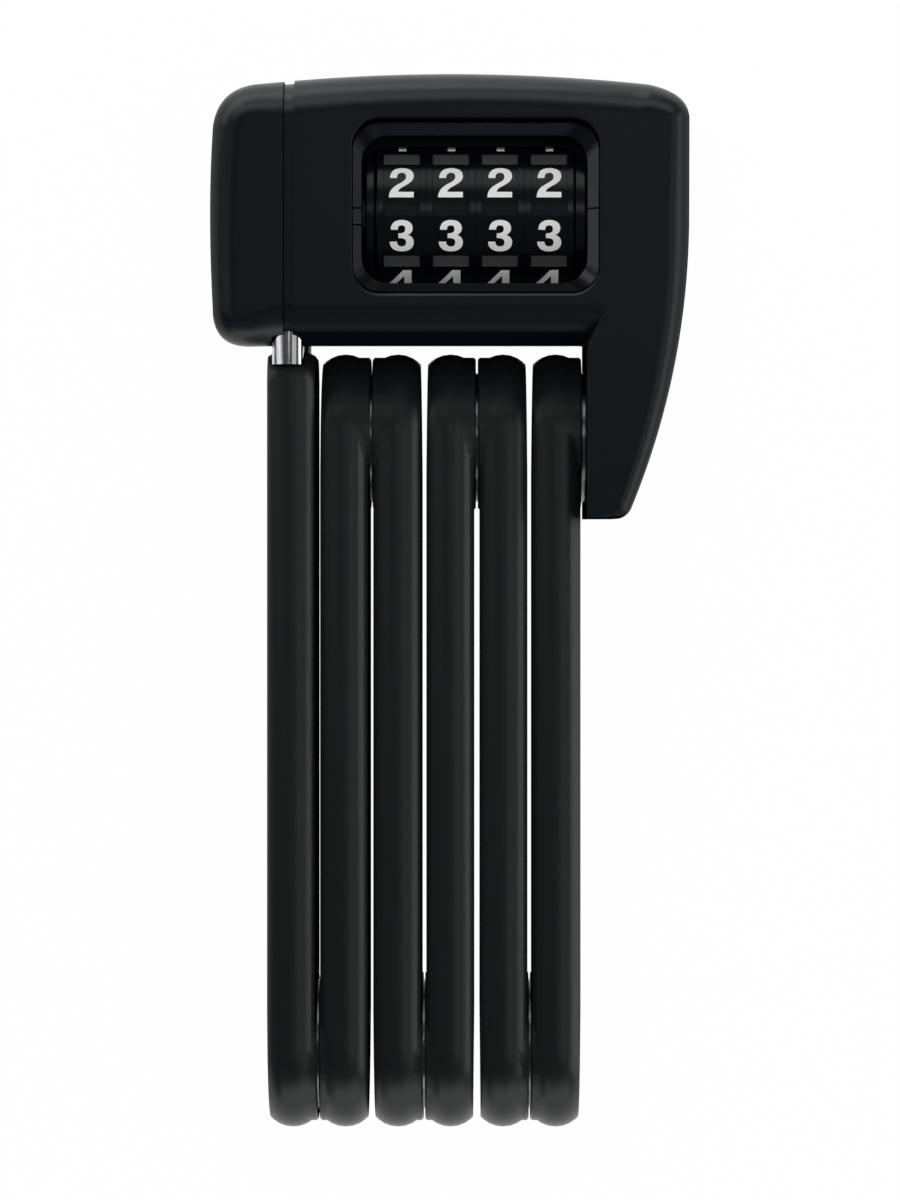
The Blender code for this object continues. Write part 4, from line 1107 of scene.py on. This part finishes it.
class LOCK_OT_inner(bpy.types.Operator):
    """Gives the solids inside the lock their metal finishes"""

    bl_idname = "lock.inner"
    bl_label = "Inner metal"

    def execute(self, context):
        colours = context.scene.lock_colours
        steel = plain_metal("hardened_bar_steel", colours.steel, 0.4, (0.35, 0.5))
        case = plain_metal("zinc_plated_case", colours.steel, 1.2, (0.4, 0.55))
        brass = plain_metal("turned_brass", colours.brass, 0.3, (0.25, 0.38))
        spring = plain_metal("drawn_spring_steel", colours.steel, 0.2, (0.2, 0.32))
        finishes = {"bar_core": steel, "socket_bush": steel, "dial_sleeve": steel, "latch_spindle": steel,
                    "lock_case": case, "code_ring": brass, "latch_spring": spring, "detent_spring": spring}
        for start, material in finishes.items():
            for name, node in frame["nodes"].items():
                if name.startswith(start):
                    node.data.materials.clear()
                    node.data.materials.append(material)
        return {"FINISHED"}


class LOCK_OT_stage(bpy.types.Operator):
    """Sets up the floor, the studio light and the camera"""

    bl_idname = "lock.stage"
    bl_label = "Studio"

    def execute(self, context):
        scene, stage = context.scene, context.scene.lock_stage
        reach, (low, high) = stage.floor_reach / MM, FLOOR_Z
        corners = [(x * reach, y * reach, low) for x, y in ((-1, -1), (1, -1), (1, 1), (-1, 1))]
        floor = new_object("studio_floor", prism(corners, (0, 0, high - low)))
        floor.data.transform(Matrix.Scale(MM, 4))
        floor.data.materials.append(white_sweep(scene.lock_colours.floor))
        # Each soft box: place and size in metres, brightness where 1 is white, whether reflections show it
        boxes = {
            "soft_box_top": ((-0.05, 0.50, 0.44), (0.9, 0.26), 1.1, True),
            "soft_box_top_low": ((-0.30, 0.50, 0.13), (0.95, 0.22), 2.0, True),
            "soft_box_right": ((0.55, -0.02, 0.20), (0.7, 0.32), 1.65, True),
            "soft_box_right_high": ((0.24, 0.0, 0.48), (0.5, 0.22), 0.5, True),
            "soft_box_low": ((0.05, -0.60, 0.18), (0.8, 0.28), 1.3, True),
            "soft_box_dials": ((0.024, 0.15, 0.80), (0.104, 0.11), 2.0, True),
            "soft_box_pin": ((-0.37, 0.065, 0.33), (0.03, 0.44), 1.2, True),
            "soft_box_key": ((-0.12, 0.26, 0.95), (0.24, 0.24), 18.0, False),
        }
        for name, (place, size, bright, reflected) in boxes.items():
            lamp = bpy.data.lights.new(name, "AREA")
            lamp.shape = "RECTANGLE"
            lamp.size, lamp.size_y = size
            lamp.energy = bright * math.pi * size[0] * size[1]
            holder = bpy.data.objects.new(name, lamp)
            scene.collection.objects.link(holder)
            holder.location = place
            holder.rotation_euler = (-Vector(place)).to_track_quat("-Z", "Y").to_euler()
            holder.visible_camera = False
            holder.visible_glossy = reflected
        world = bpy.data.worlds.new("dim_studio")
        scene.world = world
        world.use_nodes = True
        background = world.node_tree.nodes["Background"].inputs
        background["Color"].default_value = (1.0, 1.0, 1.0, 1.0)
        background["Strength"].default_value = WORLD_LIGHT
        camera = bpy.data.cameras.new("camera")
        camera.sensor_width = 36.0
        camera.lens = camera.sensor_width * stage.camera_distance / stage.frame_height
        camera.shift_x = -stage.camera_right / stage.frame_height
        holder = bpy.data.objects.new("camera", camera)
        holder.location = (stage.camera_right, 0.0, MID_Z * MM + stage.camera_distance)
        scene.collection.objects.link(holder)
        scene.camera = holder
        scene.view_settings.view_transform = "Standard"
        return {"FINISHED"}


class LOCK_PT_panel(bpy.types.Panel):
    """Lists the settings of the lock and the operators that build it"""

    bl_idname = "LOCK_PT_panel"
    bl_label = "Folding bike lock"
    bl_space_type = "VIEW_3D"
    bl_region_type = "UI"
    bl_category = "Bike lock"

    def draw(self, context):
        for title, group in (("Sizes", context.scene.lock_sizes), ("Colours", context.scene.lock_colours),
                             ("Studio", context.scene.lock_stage)):
            box = self.layout.box()
            box.label(text=title)
            for name in group.__annotations__:
                box.prop(group, name)
        for operator in OPERATORS:
            self.layout.operator(operator.bl_idname)


OPERATORS = (LOCK_OT_housing, LOCK_OT_window, LOCK_OT_dials, LOCK_OT_bars, LOCK_OT_hinges, LOCK_OT_pin,
             LOCK_OT_inner, LOCK_OT_stage)
GROUPS = {"lock_sizes": LockSizes, "lock_colours": LockColours, "lock_stage": LockStage}
CLASSES = (*GROUPS.values(), *OPERATORS, LOCK_PT_panel)


def register():
    for cls in CLASSES:
        bpy.utils.register_class(cls)
    for name, group in GROUPS.items():
        setattr(bpy.types.Scene, name, bpy.props.PointerProperty(type=group))


def unregister():
    for name in GROUPS:
        delattr(bpy.types.Scene, name)
    for cls in reversed(CLASSES):
        bpy.utils.unregister_class(cls)


def main():
    register()
    bpy.ops.lock.stage()
    bpy.ops.lock.housing()
    bpy.ops.lock.window()
    bpy.ops.lock.dials()
    bpy.ops.lock.bars()
    bpy.ops.lock.hinges()
    bpy.ops.lock.pin()
    bpy.ops.lock.inner()


if __name__ == "__main__":
    main()
